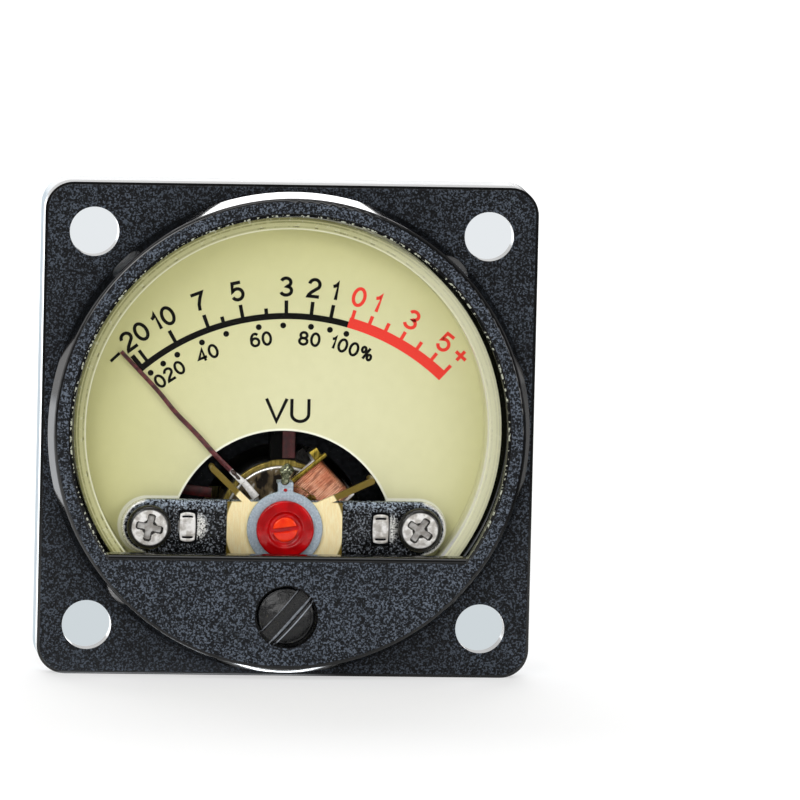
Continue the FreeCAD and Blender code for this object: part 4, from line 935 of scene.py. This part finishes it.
def make_bracket():
    """The bracket: a round-ended plate with rolled edges, dished round its stakes.

    Each point lies part way from the plate's middle line to its round-ended outline.
    """
    round_steps = 40
    straight_steps = 150
    right = np.radians(np.linspace(0, 180, round_steps))
    left = np.radians(np.linspace(180, 360, round_steps))
    top_x = np.linspace(-BRACKET_END, BRACKET_END, straight_steps)[1:-1]
    axis_x = np.concatenate([np.full(round_steps, BRACKET_END), top_x[::-1],
                             np.full(round_steps, -BRACKET_END), top_x])
    turn = np.concatenate([right, np.full(len(top_x), math.pi), left, np.full(len(top_x), 2 * math.pi)])
    side_x = np.sin(turn)
    side_z = -np.cos(turn)
    share = np.concatenate([np.linspace(0, 1, 26)[1:] ** 0.8 * (BRACKET_HALF_HEIGHT - BRACKET_EDGE),
                            BRACKET_HALF_HEIGHT - BRACKET_EDGE
                            + BRACKET_EDGE * np.sin(np.linspace(0, math.pi / 2, 7)[1:])])
    x = axis_x[None] + share[:, None] * side_x[None]
    z = PIVOT[2] + share[:, None] * side_z[None]
    edge = np.clip((share - BRACKET_HALF_HEIGHT + BRACKET_EDGE) / BRACKET_EDGE, 0, 1)
    roll = BRACKET_EDGE * (1 - np.sqrt(1 - edge ** 2))
    front = bracket_height(x, z) - roll[:, None]
    rows = [np.stack([axis_x, bracket_height(axis_x, np.full_like(axis_x, PIVOT[2])),
                      np.full_like(axis_x, PIVOT[2])], axis=-1)]
    rows += list(np.stack([x, front, z], axis=-1))
    back_edge = np.stack([x[-1], np.full_like(x[-1], BRACKET_BACK), z[-1]], axis=-1)
    back_middle = rows[0] * [1, 0, 1] + [0, BRACKET_BACK, 0]
    rows += [back_edge, back_middle]
    points = np.concatenate(rows)
    faces = grid_faces(len(rows), len(axis_x), wrap_columns=True)
    piece = make_piece("bracket_plate", points, faces, "dark_nickel", "case", "dark_nickel")
    close_seams(piece)
    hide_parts("front_bracket")


def close_seams(piece):
    """Merges points that lie on each other and turns the faces outwards."""
    mesh = bmesh.new()
    mesh.from_mesh(piece.data)
    bmesh.ops.remove_doubles(mesh, verts=mesh.verts, dist=0.0005 * MM)
    bmesh.ops.dissolve_degenerate(mesh, dist=0.0001 * MM, edges=mesh.edges)
    bmesh.ops.recalc_face_normals(mesh, faces=mesh.faces)
    mesh.to_mesh(piece.data)
    mesh.free()


def make_stakes():
    """Two staked yoke lugs in the bracket: domed, round cornered, with peened dents."""
    for name, side in (("left", -1), ("right", 1)):
        across = np.linspace(-1, 1, 33)
        along = np.linspace(-1, 1, 49)
        u, v = np.meshgrid(across, along)
        squash = np.sqrt(np.clip(1 - (u * u * v * v) * 0.35, 0, 1))
        x = side * STAKE_REACH + 0.66 * u * squash
        z = PIVOT[2] + 1.2 * v * squash
        away = np.maximum(np.abs(u), np.abs(v))
        dome = 0.16 * (1 - smooth_step(away, 0.78, 1.0))
        dents = 0.09 * np.exp(-((np.abs(v) - 0.62) / 0.1) ** 2) * (1 - smooth_step(np.abs(u), 0.5, 0.8))
        split = 0.06 * np.exp(-(u / 0.14) ** 2) * (1 - smooth_step(np.abs(v), 0.25, 0.45))
        front = BRACKET_FRONT + 0.02 + dome - dents - split
        points = np.stack([x, front, z], axis=-1).reshape(-1, 3)
        count = u.size
        foot = points.copy()
        foot[:, 1] = BRACKET_FRONT - 0.1
        index = np.arange(count).reshape(u.shape)
        edge = np.concatenate([index[0, :-1], index[:-1, -1], index[-1, :0:-1], index[:0:-1, 0]])
        after = np.roll(edge, -1)
        faces = [face[::-1] for face in grid_faces(*u.shape)]
        faces += [[a + count, b + count, b, a] for a, b in zip(edge.tolist(), after.tolist())]
        faces += [[i + count for i in face] for face in grid_faces(*u.shape)]
        piece = make_piece("stake_" + name, np.concatenate([points, foot]), faces, "nickel", "case",
                           "black_oxide_iron")
        close_seams(piece)


def cross_recess(radius, turn, forward, angle):
    """Sinks a rounded cross with a hollow middle into a screw's face."""
    x = radius * np.sin(turn - math.radians(angle))
    z = radius * np.cos(turn - math.radians(angle))
    reach = 1 - smooth_step(radius, 0.82, 1.0)
    arm = np.maximum(1 - smooth_step(np.abs(x), 0.21, 0.27), 1 - smooth_step(np.abs(z), 0.21, 0.27))
    middle = 1 - smooth_step(radius, 0.3, 0.62)
    depth = 0.4 * np.maximum(arm, middle) * reach * (1.15 - 0.45 * radius)
    front_side = forward > SCREW_TOP - 0.4
    return np.where(front_side, forward - depth, forward)


def make_bracket_screws():
    """Two pan head screws with cross recesses; each head is turned from a domed profile."""
    shapes = []
    for reach, angle in ((-BRACKET_END, 12.0), (BRACKET_END, 33.0)):
        wide = np.linspace(1.24, 0.0, 26)
        dome = np.column_stack([wide, SCREW_TOP - 0.06 * (wide / 1.24) ** 2])
        side = rounding(SCREW_RADIUS - 0.02, SCREW_TOP - 0.06, 0.36, 10)
        profile = [(0, BRACKET_FRONT - 0.3), (SCREW_RADIUS - 0.4, BRACKET_FRONT - 0.3),
                   (SCREW_RADIUS - 0.4, BRACKET_FRONT - 0.02), (SCREW_RADIUS - 0.02, BRACKET_FRONT + 0.02),
                   *side[:-1], *dome]
        relief = (lambda radius, turn, forward, angle=angle: cross_recess(radius, turn, forward, angle))
        shapes.append(turned(profile, (reach, PIVOT[2]), 144, relief))
    piece = make_piece("bracket_screw_heads", *join_shapes(shapes), "screw_head", "case", "nickel_screw")
    close_seams(piece)
    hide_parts("bracket_screws")


def slot_relief(centre_turn, half_width, floor, soft=0.06):
    """A function that cuts a straight slot, down to floor, across a turned face."""
    def relief(radius, turn, forward):
        away = np.abs(radius * np.sin(turn - math.radians(centre_turn)))
        part = 1 - smooth_step(away, half_width - soft, half_width + soft)
        return np.where(forward > floor, forward + (floor - forward) * part, forward)
    return relief


def make_lock_nut():
    """Red lacquered lock nut: soft outer edge, a ridge round a sloping hollow."""
    hollow = NUT_FRONT - 0.16
    top = NUT_FRONT
    back = -span("front_lock_nut")[1][1]
    profile = [(0, back), (NUT_RADIUS, back), *rounding(NUT_RADIUS, top, 0.16, 8), (1.62, top + 0.004),
               (1.44, top + 0.03), (1.34, top + 0.05), (1.27, top + 0.03), (1.2, top - 0.05),
               (1.12, hollow + 0.01), (1.0, hollow - 0.01), (0.9, hollow), (0, hollow)]
    piece = make_piece("lock_nut_lacquered", *turned(profile, (0, PIVOT[2]), 128), "nut_red", "case",
                       "red_lacquer")
    close_seams(piece)
    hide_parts("front_lock_nut")


def make_jewel_screw():
    """Orange red slotted bearing screw in the middle of the nut, its face slightly domed."""
    low, high = span("front_jewel_screw")
    radius = high[0]
    top = -low[1]
    wide = np.linspace(radius - 0.1, 0, 18)
    dome = np.column_stack([wide, top - 0.05 * (wide / radius) ** 2])
    profile = [(0, -high[1]), (radius, -high[1]), *rounding(radius, top - 0.04, 0.1, 5)[:-1], *dome]
    relief = slot_relief(82.0, 0.15, top - 0.26, 0.045)
    piece = make_piece("jewel_screw_lacquered", *turned(profile, (0, PIVOT[2]), 120, relief), "screw_red",
                       "case", "red_lacquered_screw")
    close_seams(piece)
    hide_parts("front_jewel_screw")


def make_zero_screw():
    """Black zero screw: shaft, wide head with a worn round edge and one deep slot."""
    head_back = ZERO_TOP - 1.18
    collar = ZERO_RADIUS + 0.19
    wide = np.linspace(ZERO_RADIUS - 0.2, 0, 36)
    dome = np.column_stack([wide, ZERO_TOP - 0.55 * (wide / ZERO_RADIUS) ** 2])
    side = rounding(ZERO_RADIUS, dome[0, 1], 0.2, 9)
    profile = [(0, ZERO_BACK), (0.9, ZERO_BACK), (0.9, head_back), (collar, head_back),
               (collar, head_back + 0.2), (ZERO_RADIUS, head_back + 0.24), *side[:-1], *dome]
    slot = slot_relief(ZERO_TURN, 0.5, ZERO_TOP - 0.88, 0.07)

    def relief(radius, turn, forward):
        away = radius * np.sin(turn - math.radians(ZERO_TURN))
        ridges = 0.03 * np.exp(-((np.abs(away) - 0.66) / 0.07) ** 2) * (forward > ZERO_TOP - 0.68)
        dents = 0.02 * np.sin(5 * radius * np.cos(turn + 0.4)) * np.sin(4.1 * radius * np.sin(turn - 0.9))
        return slot(radius, turn, forward + ridges + dents * (forward > ZERO_TOP - 0.68))

    piece = make_piece("zero_screw_head", *turned(profile, (0, ZERO_SCREW[2]), 180, relief), "zero_screw",
                       "zero_screw", "gloss_black_plastic")
    close_seams(piece)
    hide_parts("zero_adjust_screw")


COIL_LENGTH = 5.15
COIL_WIDTH = 1.66
WIRE_RADIUS = 0.066
WIRE_TURNS = 25


def along_coil(length, width, forward):
    """A place on the coil at rest: length runs square to the pointer and width along it."""
    turn = math.radians(REST_TURN)
    x = length * math.cos(turn) + width * math.sin(turn)
    z = PIVOT[2] - length * math.sin(turn) + width * math.cos(turn)
    return np.stack([x, forward + 0 * x, z], axis=-1)


def oblong(half_length, back, front, corner, steps=7):
    """A round cornered oblong of (length, forward) points, one corner after the other."""
    points = []
    for side, level, start in ((1, front, 0), (1, back, 90), (-1, back, 180), (-1, front, 270)):
        inward = corner if level == back else -corner
        centre = np.array([side * (half_length - corner), level + inward])
        turns = np.radians(np.linspace(start, start + 90, steps))
        points.append(centre + corner * np.column_stack([np.sin(turns), np.cos(turns)]))
    return np.concatenate(points)


def make_winding():
    """The coil: a hollow block under one wire wound round it, each turn laid beside the last."""
    loop = oblong(COIL_LENGTH - WIRE_RADIUS, COIL_BACK + WIRE_RADIUS, COIL_FRONT - WIRE_RADIUS, 0.4)
    lengths = np.tile(loop[:, 0], WIRE_TURNS)
    forwards = np.tile(loop[:, 1], WIRE_TURNS)
    widths = np.linspace(-COIL_WIDTH, COIL_WIDTH, len(lengths))
    drift = 0.012 * np.sin(np.arange(len(lengths)) * 0.083)
    path = along_coil(lengths, widths + drift, forwards)
    wire = tube(path, WIRE_RADIUS, 8)
    packed = oblong(COIL_LENGTH - 0.09, COIL_BACK + 0.09, COIL_FRONT - 0.09, 0.38)
    inner = oblong(COIL_LENGTH - 0.5, COIL_BACK + 0.4, COIL_FRONT - 0.4, 0.1)
    rows = [along_coil(line[:, 0], np.full(len(line), width), line[:, 1])
            for line, width in ((packed, -COIL_WIDTH), (packed, COIL_WIDTH),
                                (inner, COIL_WIDTH), (inner, -COIL_WIDTH))]
    block = (np.concatenate(rows), grid_faces(4, len(packed), wrap_rows=True, wrap_columns=True))
    piece = make_piece("coil_wire", *join_shapes([wire, block]), "copper", "moving_coil", "copper_wire")
    close_seams(piece)
    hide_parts("coil_winding")


def flat_strip(line, half, back, front, edge):
    """A flat bar along (x, z) points with eased front edges; half is its half width at each point."""
    line = np.asarray(line, float)
    ahead = np.gradient(line, axis=0)
    ahead /= np.linalg.norm(ahead, axis=1)[:, None]
    beside = np.column_stack([ahead[:, 1], -ahead[:, 0]])
    half = np.broadcast_to(np.asarray(half, float), len(line))
    rows = []
    for side, inset, level in ((-1, 0, back), (-1, 0, front - edge), (-1, edge, front),
                               (1, edge, front), (1, 0, front - edge), (1, 0, back)):
        moved = line + beside * (side * (half - inset))[:, None]
        rows.append(np.column_stack([moved[:, 0], np.full(len(line), level), moved[:, 1]]))
    index = np.arange(6 * len(line)).reshape(6, len(line))
    faces = grid_faces(6, len(line), wrap_rows=True) + [index[:, 0].tolist(), index[::-1, -1].tolist()]
    return np.concatenate(rows), faces


def along_pointer(away, bend):
    """(x, z) places on the pointer at rest, at distances from the pivot and a little to one side."""
    turn = math.radians(REST_TURN)
    along = np.array([math.sin(turn), math.cos(turn)])
    beside = np.array([math.cos(turn), -math.sin(turn)])
    return [0, PIVOT[2]] + np.outer(away, along) + np.outer(bend, beside)


def make_pointer():
    """The pointer: a thin painted strip, a little bent by hand, glued on a bare aluminium seat."""
    share = np.linspace(0, 1, 60)
    bend = np.interp(share, [0, 0.3, 0.46, 0.62, 0.77, 1], [0, 0.03, -0.13, -0.05, -0.1, 0])
    bend = np.convolve(np.pad(bend, 3, mode="edge"), np.ones(7) / 7, mode="valid")
    line = along_pointer(POINTER_REACH + (POINTER_ROOT - POINTER_REACH) * share, bend)
    strip = flat_strip(line, 0.14 + 0.05 * share, POINTER_FRONT - 0.15, POINTER_FRONT, 0.04)
    piece = make_piece("pointer_painted", *strip, "pointer", "moving_coil", "pointer_paint")
    close_seams(piece)
    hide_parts("pointer")
    reach = np.linspace(2.75, 4.95, 12)
    line = along_pointer(reach, 0.05 * np.sin(reach * 2.0))
    back = POINTER_FRONT - 0.4
    seat = flat_strip(line, np.linspace(0.29, 0.18, 12), back, POINTER_FRONT - 0.15, 0.05)
    piece = make_piece("pointer_seat_strip", *seat, "aluminium", "moving_coil", "aluminium")
    close_seams(piece)
    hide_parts("pointer_seat")
    spots = [(5.15, 0.16, 0.3), (4.75, 0.13, 0.26)]
    drops = []
    for away, wide, long in spots:
        x, z = along_pointer(np.array([away]), np.zeros(1))[0]
        turn = math.radians(REST_TURN)
        axes = ((math.cos(turn), 0, -math.sin(turn)), (0, 1, 0), (math.sin(turn), 0, math.cos(turn)))
        drops.append(blob((x, POINTER_FRONT - 0.04, z), axes, (wide, 0.12, long), (14, 24), 0.05))
    piece = make_piece("pointer_glue", *join_shapes(drops), "glue", "moving_coil", "aluminium")
    close_seams(piece)


def make_coil_bar():
    """A thin brass bar along the coil's upper side, with a small soldering flag at its far end."""
    ends = along_coil(np.array([2.07, 5.7]), np.array([1.86, 1.6]), np.zeros(2))[:, ::2]
    bar = flat_strip(np.linspace(ends[0], ends[1], 8), 0.15, COIL_FRONT - 0.2, COIL_FRONT + 0.25, 0.06)
    ends = along_coil(np.array([4.85, 5.45]), np.array([2.12, 2.02]), np.zeros(2))[:, ::2]
    flag = flat_strip(np.linspace(ends[0], ends[1], 5), 0.42, COIL_FRONT, COIL_FRONT + 0.14, 0.05)
    piece = make_piece("coil_bar", *join_shapes([bar, flag]), "olive_brass", "moving_coil", "olive_brass")
    close_seams(piece)


def make_red_strips():
    """Dark red strips on the upper arm of the core's frame and on the yoke's face."""
    strips = []
    for start, end, half, rise in (((0.42, 4.7), (0.42, 7.3), 0.45, ARM_FRONT),
                                   ((-7.05, 2.35), (-5.0, 2.1), 0.36, YOKE_FRONT)):
        line = np.linspace([start[0], PIVOT[2] + start[1]], [end[0], PIVOT[2] + end[1]], 5)
        strips.append(flat_strip(line, half, rise - 0.02, rise + 0.04, 0.02))
    make_piece("yoke_red_strips", *join_shapes(strips), "tape", "case", "enamelled_wire")


def blob(centre, axes, sizes, count=(24, 36), lumps=0.0):
    """A rounded lump: an oval ball on three axes, with a few low swellings."""
    up = np.linspace(0, math.pi, count[0])[1:-1]
    around = np.linspace(0, 2 * math.pi, count[1], endpoint=False)
    lean, turn = np.meshgrid(up, around, indexing="ij")
    waves = np.sin(2.0 * turn + 0.6) * np.sin(3.0 * lean) + np.cos(3.0 * turn) * np.sin(lean)
    unit = np.stack([np.sin(lean) * np.cos(turn), np.sin(lean) * np.sin(turn), np.cos(lean)], axis=-1)
    unit *= (1 + lumps * waves)[..., None]
    poles = np.array([[0.0, 0.0, 1.0], [0.0, 0.0, -1.0]])
    return capped_rings(*(places * sizes @ np.array(axes) + centre for places in (unit, poles)))


STRAIGHT = ((1, 0, 0), (0, 1, 0), (0, 0, 1))
SOLDER_FORWARD = 3.98
SOLDER_RISE = 3.93
SOLDER_HALF = 0.8
SOLDER_LEAN = 0.08


def make_solder():
    """Tin solder over the lever's tab and the hairspring's end: one lump, drawn in at its middle.

    Along its height its half width is 0.36 mm plus a bell curve and a small wave, and it thins to a
    point at each end; round it, each ring is an oval with a slight ripple.
    """
    height = np.linspace(-1, 1, 30)
    round_off = np.sqrt(np.clip(1 - np.abs(height) ** 3, 0, 1))
    wide = round_off * (0.36 + 0.12 * np.exp(-((height - 0.35) / 0.4) ** 2) + 0.05 * np.sin(5 * height))
    deep = round_off * (0.2 + 0.14 * np.exp(-((height - 0.4) / 0.4) ** 2))
    around = np.linspace(0, 2 * math.pi, 32, endpoint=False)[None]
    level, wide, deep = (line[1:-1, None] for line in (height, wide, deep))
    rise = PIVOT[2] + SOLDER_RISE
    x = SOLDER_LEAN * level + wide * np.cos(around) * (1 + 0.05 * np.sin(2 * around + 3 * level))
    forward = SOLDER_FORWARD + deep * np.sin(around) * (1 + 0.05 * np.cos(3 * around + 4 * level))
    z = rise + SOLDER_HALF * level + 0 * around
    poles = [[SOLDER_LEAN * end, SOLDER_FORWARD, rise + SOLDER_HALF * end] for end in (-1, 1)]
    lump = capped_rings(np.stack([x, forward, z], axis=-1), poles)
    piece = make_piece("solder_bead", *lump, "solder", "zero_lever", "solder")
    close_seams(piece)
    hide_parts("spring_solder")


def make_red_dot():
    """A dab of red lacquer where the lever's tab meets its ring."""
    dab = blob((-0.02, 3.9, PIVOT[2] + 2.78), STRAIGHT, (0.14, 0.04, 0.12), (12, 20), 0.04)
    make_piece("lever_red_dot", *dab, "nut_red", "zero_lever", "red_lacquer")


SMOOTHED = [
    ("zero_lever", "zero_lever", "grey_nickel", "zinc", 0.07),
    ("front_bridge", "case", "pale_brass", "bridge_brass", 0.06),
    ("core_magnet", "case", "magnet_alloy", "magnet", 0.14),
    ("core_frame", "case", "olive_brass", "core_brass", 0.06),
]


def make_pieces():
    """Builds every piece that is modelled here."""
    print_dial()
    make_dial_seat()
    make_bracket()
    make_stakes()
    make_bracket_screws()
    make_lock_nut()
    make_jewel_screw()
    make_zero_screw()
    make_winding()
    make_pointer()
    make_coil_bar()
    make_red_strips()
    make_solder()
    make_red_dot()
    for node, body, slot, material, width in SMOOTHED:
        smoothed_copy(node, body, material, width)


# Camera, light and floor

CAMERA_LEFT = 5.4
CAMERA_ABOVE = 6.57
CAMERA_ROLL = 1.347
CAMERA_DISTANCE = 900.0
PIXELS_PER_MM = 14.101
PICTURE = 800
AIM = np.array([0.0, -3.0, 0.0])
FRAME_SHIFT_X = 113.97
FRAME_SHIFT_Y = 28.17
# the camera's place, and the plane of the flange in which the shade behind the holes is laid out
VIEWER = (-76.1, -893.6, 105.2)
SHADE_PLANE = -3.0


def place_camera():
    """Camera left of and above the meter, rolled, aimed so that the meter sits left of centre."""
    turn, lift, roll = (math.radians(a) for a in (CAMERA_LEFT, CAMERA_ABOVE, CAMERA_ROLL))
    back = Vector((-math.sin(turn) * math.cos(lift), -math.cos(turn) * math.cos(lift), math.sin(lift)))
    right = (-back).cross(Vector((0, 0, 1))).normalized()
    up = right.cross(-back)
    across = right * math.cos(roll) + up * math.sin(roll)
    over = up * math.cos(roll) - right * math.sin(roll)
    aim = Vector(AIM) + across * (FRAME_SHIFT_X / PIXELS_PER_MM) + over * (FRAME_SHIFT_Y / PIXELS_PER_MM)
    data = bpy.data.cameras.new("camera")
    camera = bpy.data.objects.new("camera", data)
    bpy.context.scene.collection.objects.link(camera)
    camera.matrix_world = Matrix.Translation((aim + back * CAMERA_DISTANCE) * MM) @ Matrix(
        (across, over, back)).transposed().to_4x4()
    data.sensor_width = 36
    data.lens = 36 * CAMERA_DISTANCE * PIXELS_PER_MM / PICTURE
    data.clip_start = 0.01
    data.clip_end = 20
    bpy.context.scene.camera = camera


def softbox(name, place_at, look, width, height, radiance):
    """A rectangular soft light at a place, facing a point; radiance is what a mirror would see."""
    data = bpy.data.lights.new(name, "AREA")
    data.shape = "RECTANGLE"
    data.size = width * MM
    data.size_y = height * MM
    data.energy = radiance * math.pi * width * height * MM * MM
    light = bpy.data.objects.new(name, data)
    bpy.context.scene.collection.objects.link(light)
    light.location = Vector(place_at) * MM
    direction = Vector(look) - Vector(place_at)
    light.rotation_euler = direction.to_track_quat("-Z", "Y").to_euler()
    light.visible_camera = False


def set_world():
    """White to the camera, an even level for matt surfaces, and dark in front for mirrors."""
    world = bpy.data.worlds.new("studio")
    bpy.context.scene.world = world
    world.use_nodes = True
    world.cycles.sampling_method = "NONE"
    background = world.node_tree.nodes["Background"]
    node = partial(add, world)
    path = node("light path")
    right, forward, up = node("split", node("direction"))
    window = node("times", node("ramp", up, 0.45, 0.6, 0.0, 8.0), node("ramp", forward, 0.4, 0.6))
    sides = node("times", node("ramp", forward, -0.6, 0.2, 0.22, 1.2),
                 node("ramp", right, 0.0, 0.4, 1.0, 0.35))
    level = node("between", path["Is Glossy Ray"], 0.5, node("plus", sides, window))
    seen = node("most", path["Is Camera Ray"], path["Is Transmission Ray"])
    background.inputs["Color"].default_value = (1, 1, 1, 1)
    world.node_tree.links.new(node("between", seen, level, 1.0), background.inputs["Strength"])


def make_floor():
    """A pale floor that looks white to the camera but keeps the shadow.

    A mirror sees it dark in front and on the right, with a bright card in front of the flange and a
    glow behind it on the left. Straight behind the meter lies a faint blue grey shade, seen through the
    four bolt holes. Its shape is the flange's own square laid on the floor along lines from the viewer.
    """
    size = 4000.0
    level = -FLANGE_HALF * MM
    mesh = bpy.data.meshes.new("floor")
    corners = [(-size * MM, -size * MM, level), (size * MM, -size * MM, level),
               (size * MM, size * MM, level), (-size * MM, size * MM, level)]
    mesh.from_pydata(corners, [], [(0, 1, 2, 3)])
    floor = bpy.data.objects.new("floor", mesh)
    bpy.context.scene.collection.objects.link(floor)
    mat = surface("pale_floor", "#f4f4f4", 0.8)
    mat.cycles.emission_sampling = "NONE"
    shader = mat.node_tree.nodes["Principled BSDF"]
    node = partial(add, mat)
    x, y, _ = parts(mat)
    path = node("light path")
    mirrored = path["Is Glossy Ray"]
    dark = node("most", node("ramp", y, -120.0, -40.0, 1.0, 0.0), node("ramp", x, 10.0, 50.0))
    feed(mat, "Base Color", node("blend", node("times", mirrored, dark), "#f4f4f4", "#343434"))
    card = node("times", node("ramp", y, -5.2, -5.1), node("ramp", y, -5.0, -4.9, 1.0, 0.0))
    card = node("times", card, node("ramp", x, 0.0, 5.0, 10.0, 0.0))
    behind = node("times", node("ramp", y, 0.0, 30.0), node("ramp", x, -20.0, 20.0, 1.2, 0.0))
    feed(mat, "Emission Strength", node("times", mirrored, node("plus", card, behind)))
    shader.inputs["Emission Color"].default_value = (0.9, 0.95, 1.0, 1.0)
    nearer = node("over", SHADE_PLANE - VIEWER[1], node("minus", y, VIEWER[1]))
    plate_x = node("plus", node("times", node("minus", x, VIEWER[0]), nearer), VIEWER[0])
    plate_z = node("minus", VIEWER[2], node("times", nearer, VIEWER[2] + FLANGE_HALF))
    far = node("most", node("size", plate_x), node("size", plate_z))
    square = node("times", node("ramp", far, 15.9, 17.1, 1.0, 0.0), node("ramp", y, 0.0, 5.0))
    shade = node("blend", node("ramp", plate_z, -14.0, 14.0), "#ced6da", "#e6eaed")
    seen = node("most", path["Is Camera Ray"], path["Is Transmission Ray"])
    white = node("glow", node("blend", square, "#ffffff", shade), 1.0)
    share = node("times", seen, node("most", square, 0.55))
    finish_with(mat, node("either", share, shader.outputs[0], white))
    floor.data.materials.append(mat)


def light_scene():
    """Soft lamps left, right and overhead in front, and one behind that lights the ring's walls."""
    softbox("key_softbox", (-380, -820, 400), (0, 0, 0), 420, 420, 5.2)
    softbox("fill_softbox", (520, -800, 130), (0, 0, 0), 360, 360, 3.4)
    softbox("overhead_softbox", (0, -350, 650), (0, 0, 0), 400, 300, 2.2)
    softbox("rim_softbox", (-60, 560, 440), (0, 0, 0), 900, 420, 4.0)


bpy.context.scene.view_settings.view_transform = "Standard"
finish_nodes()
make_pieces()
place_camera()
set_world()
make_floor()
light_scene()
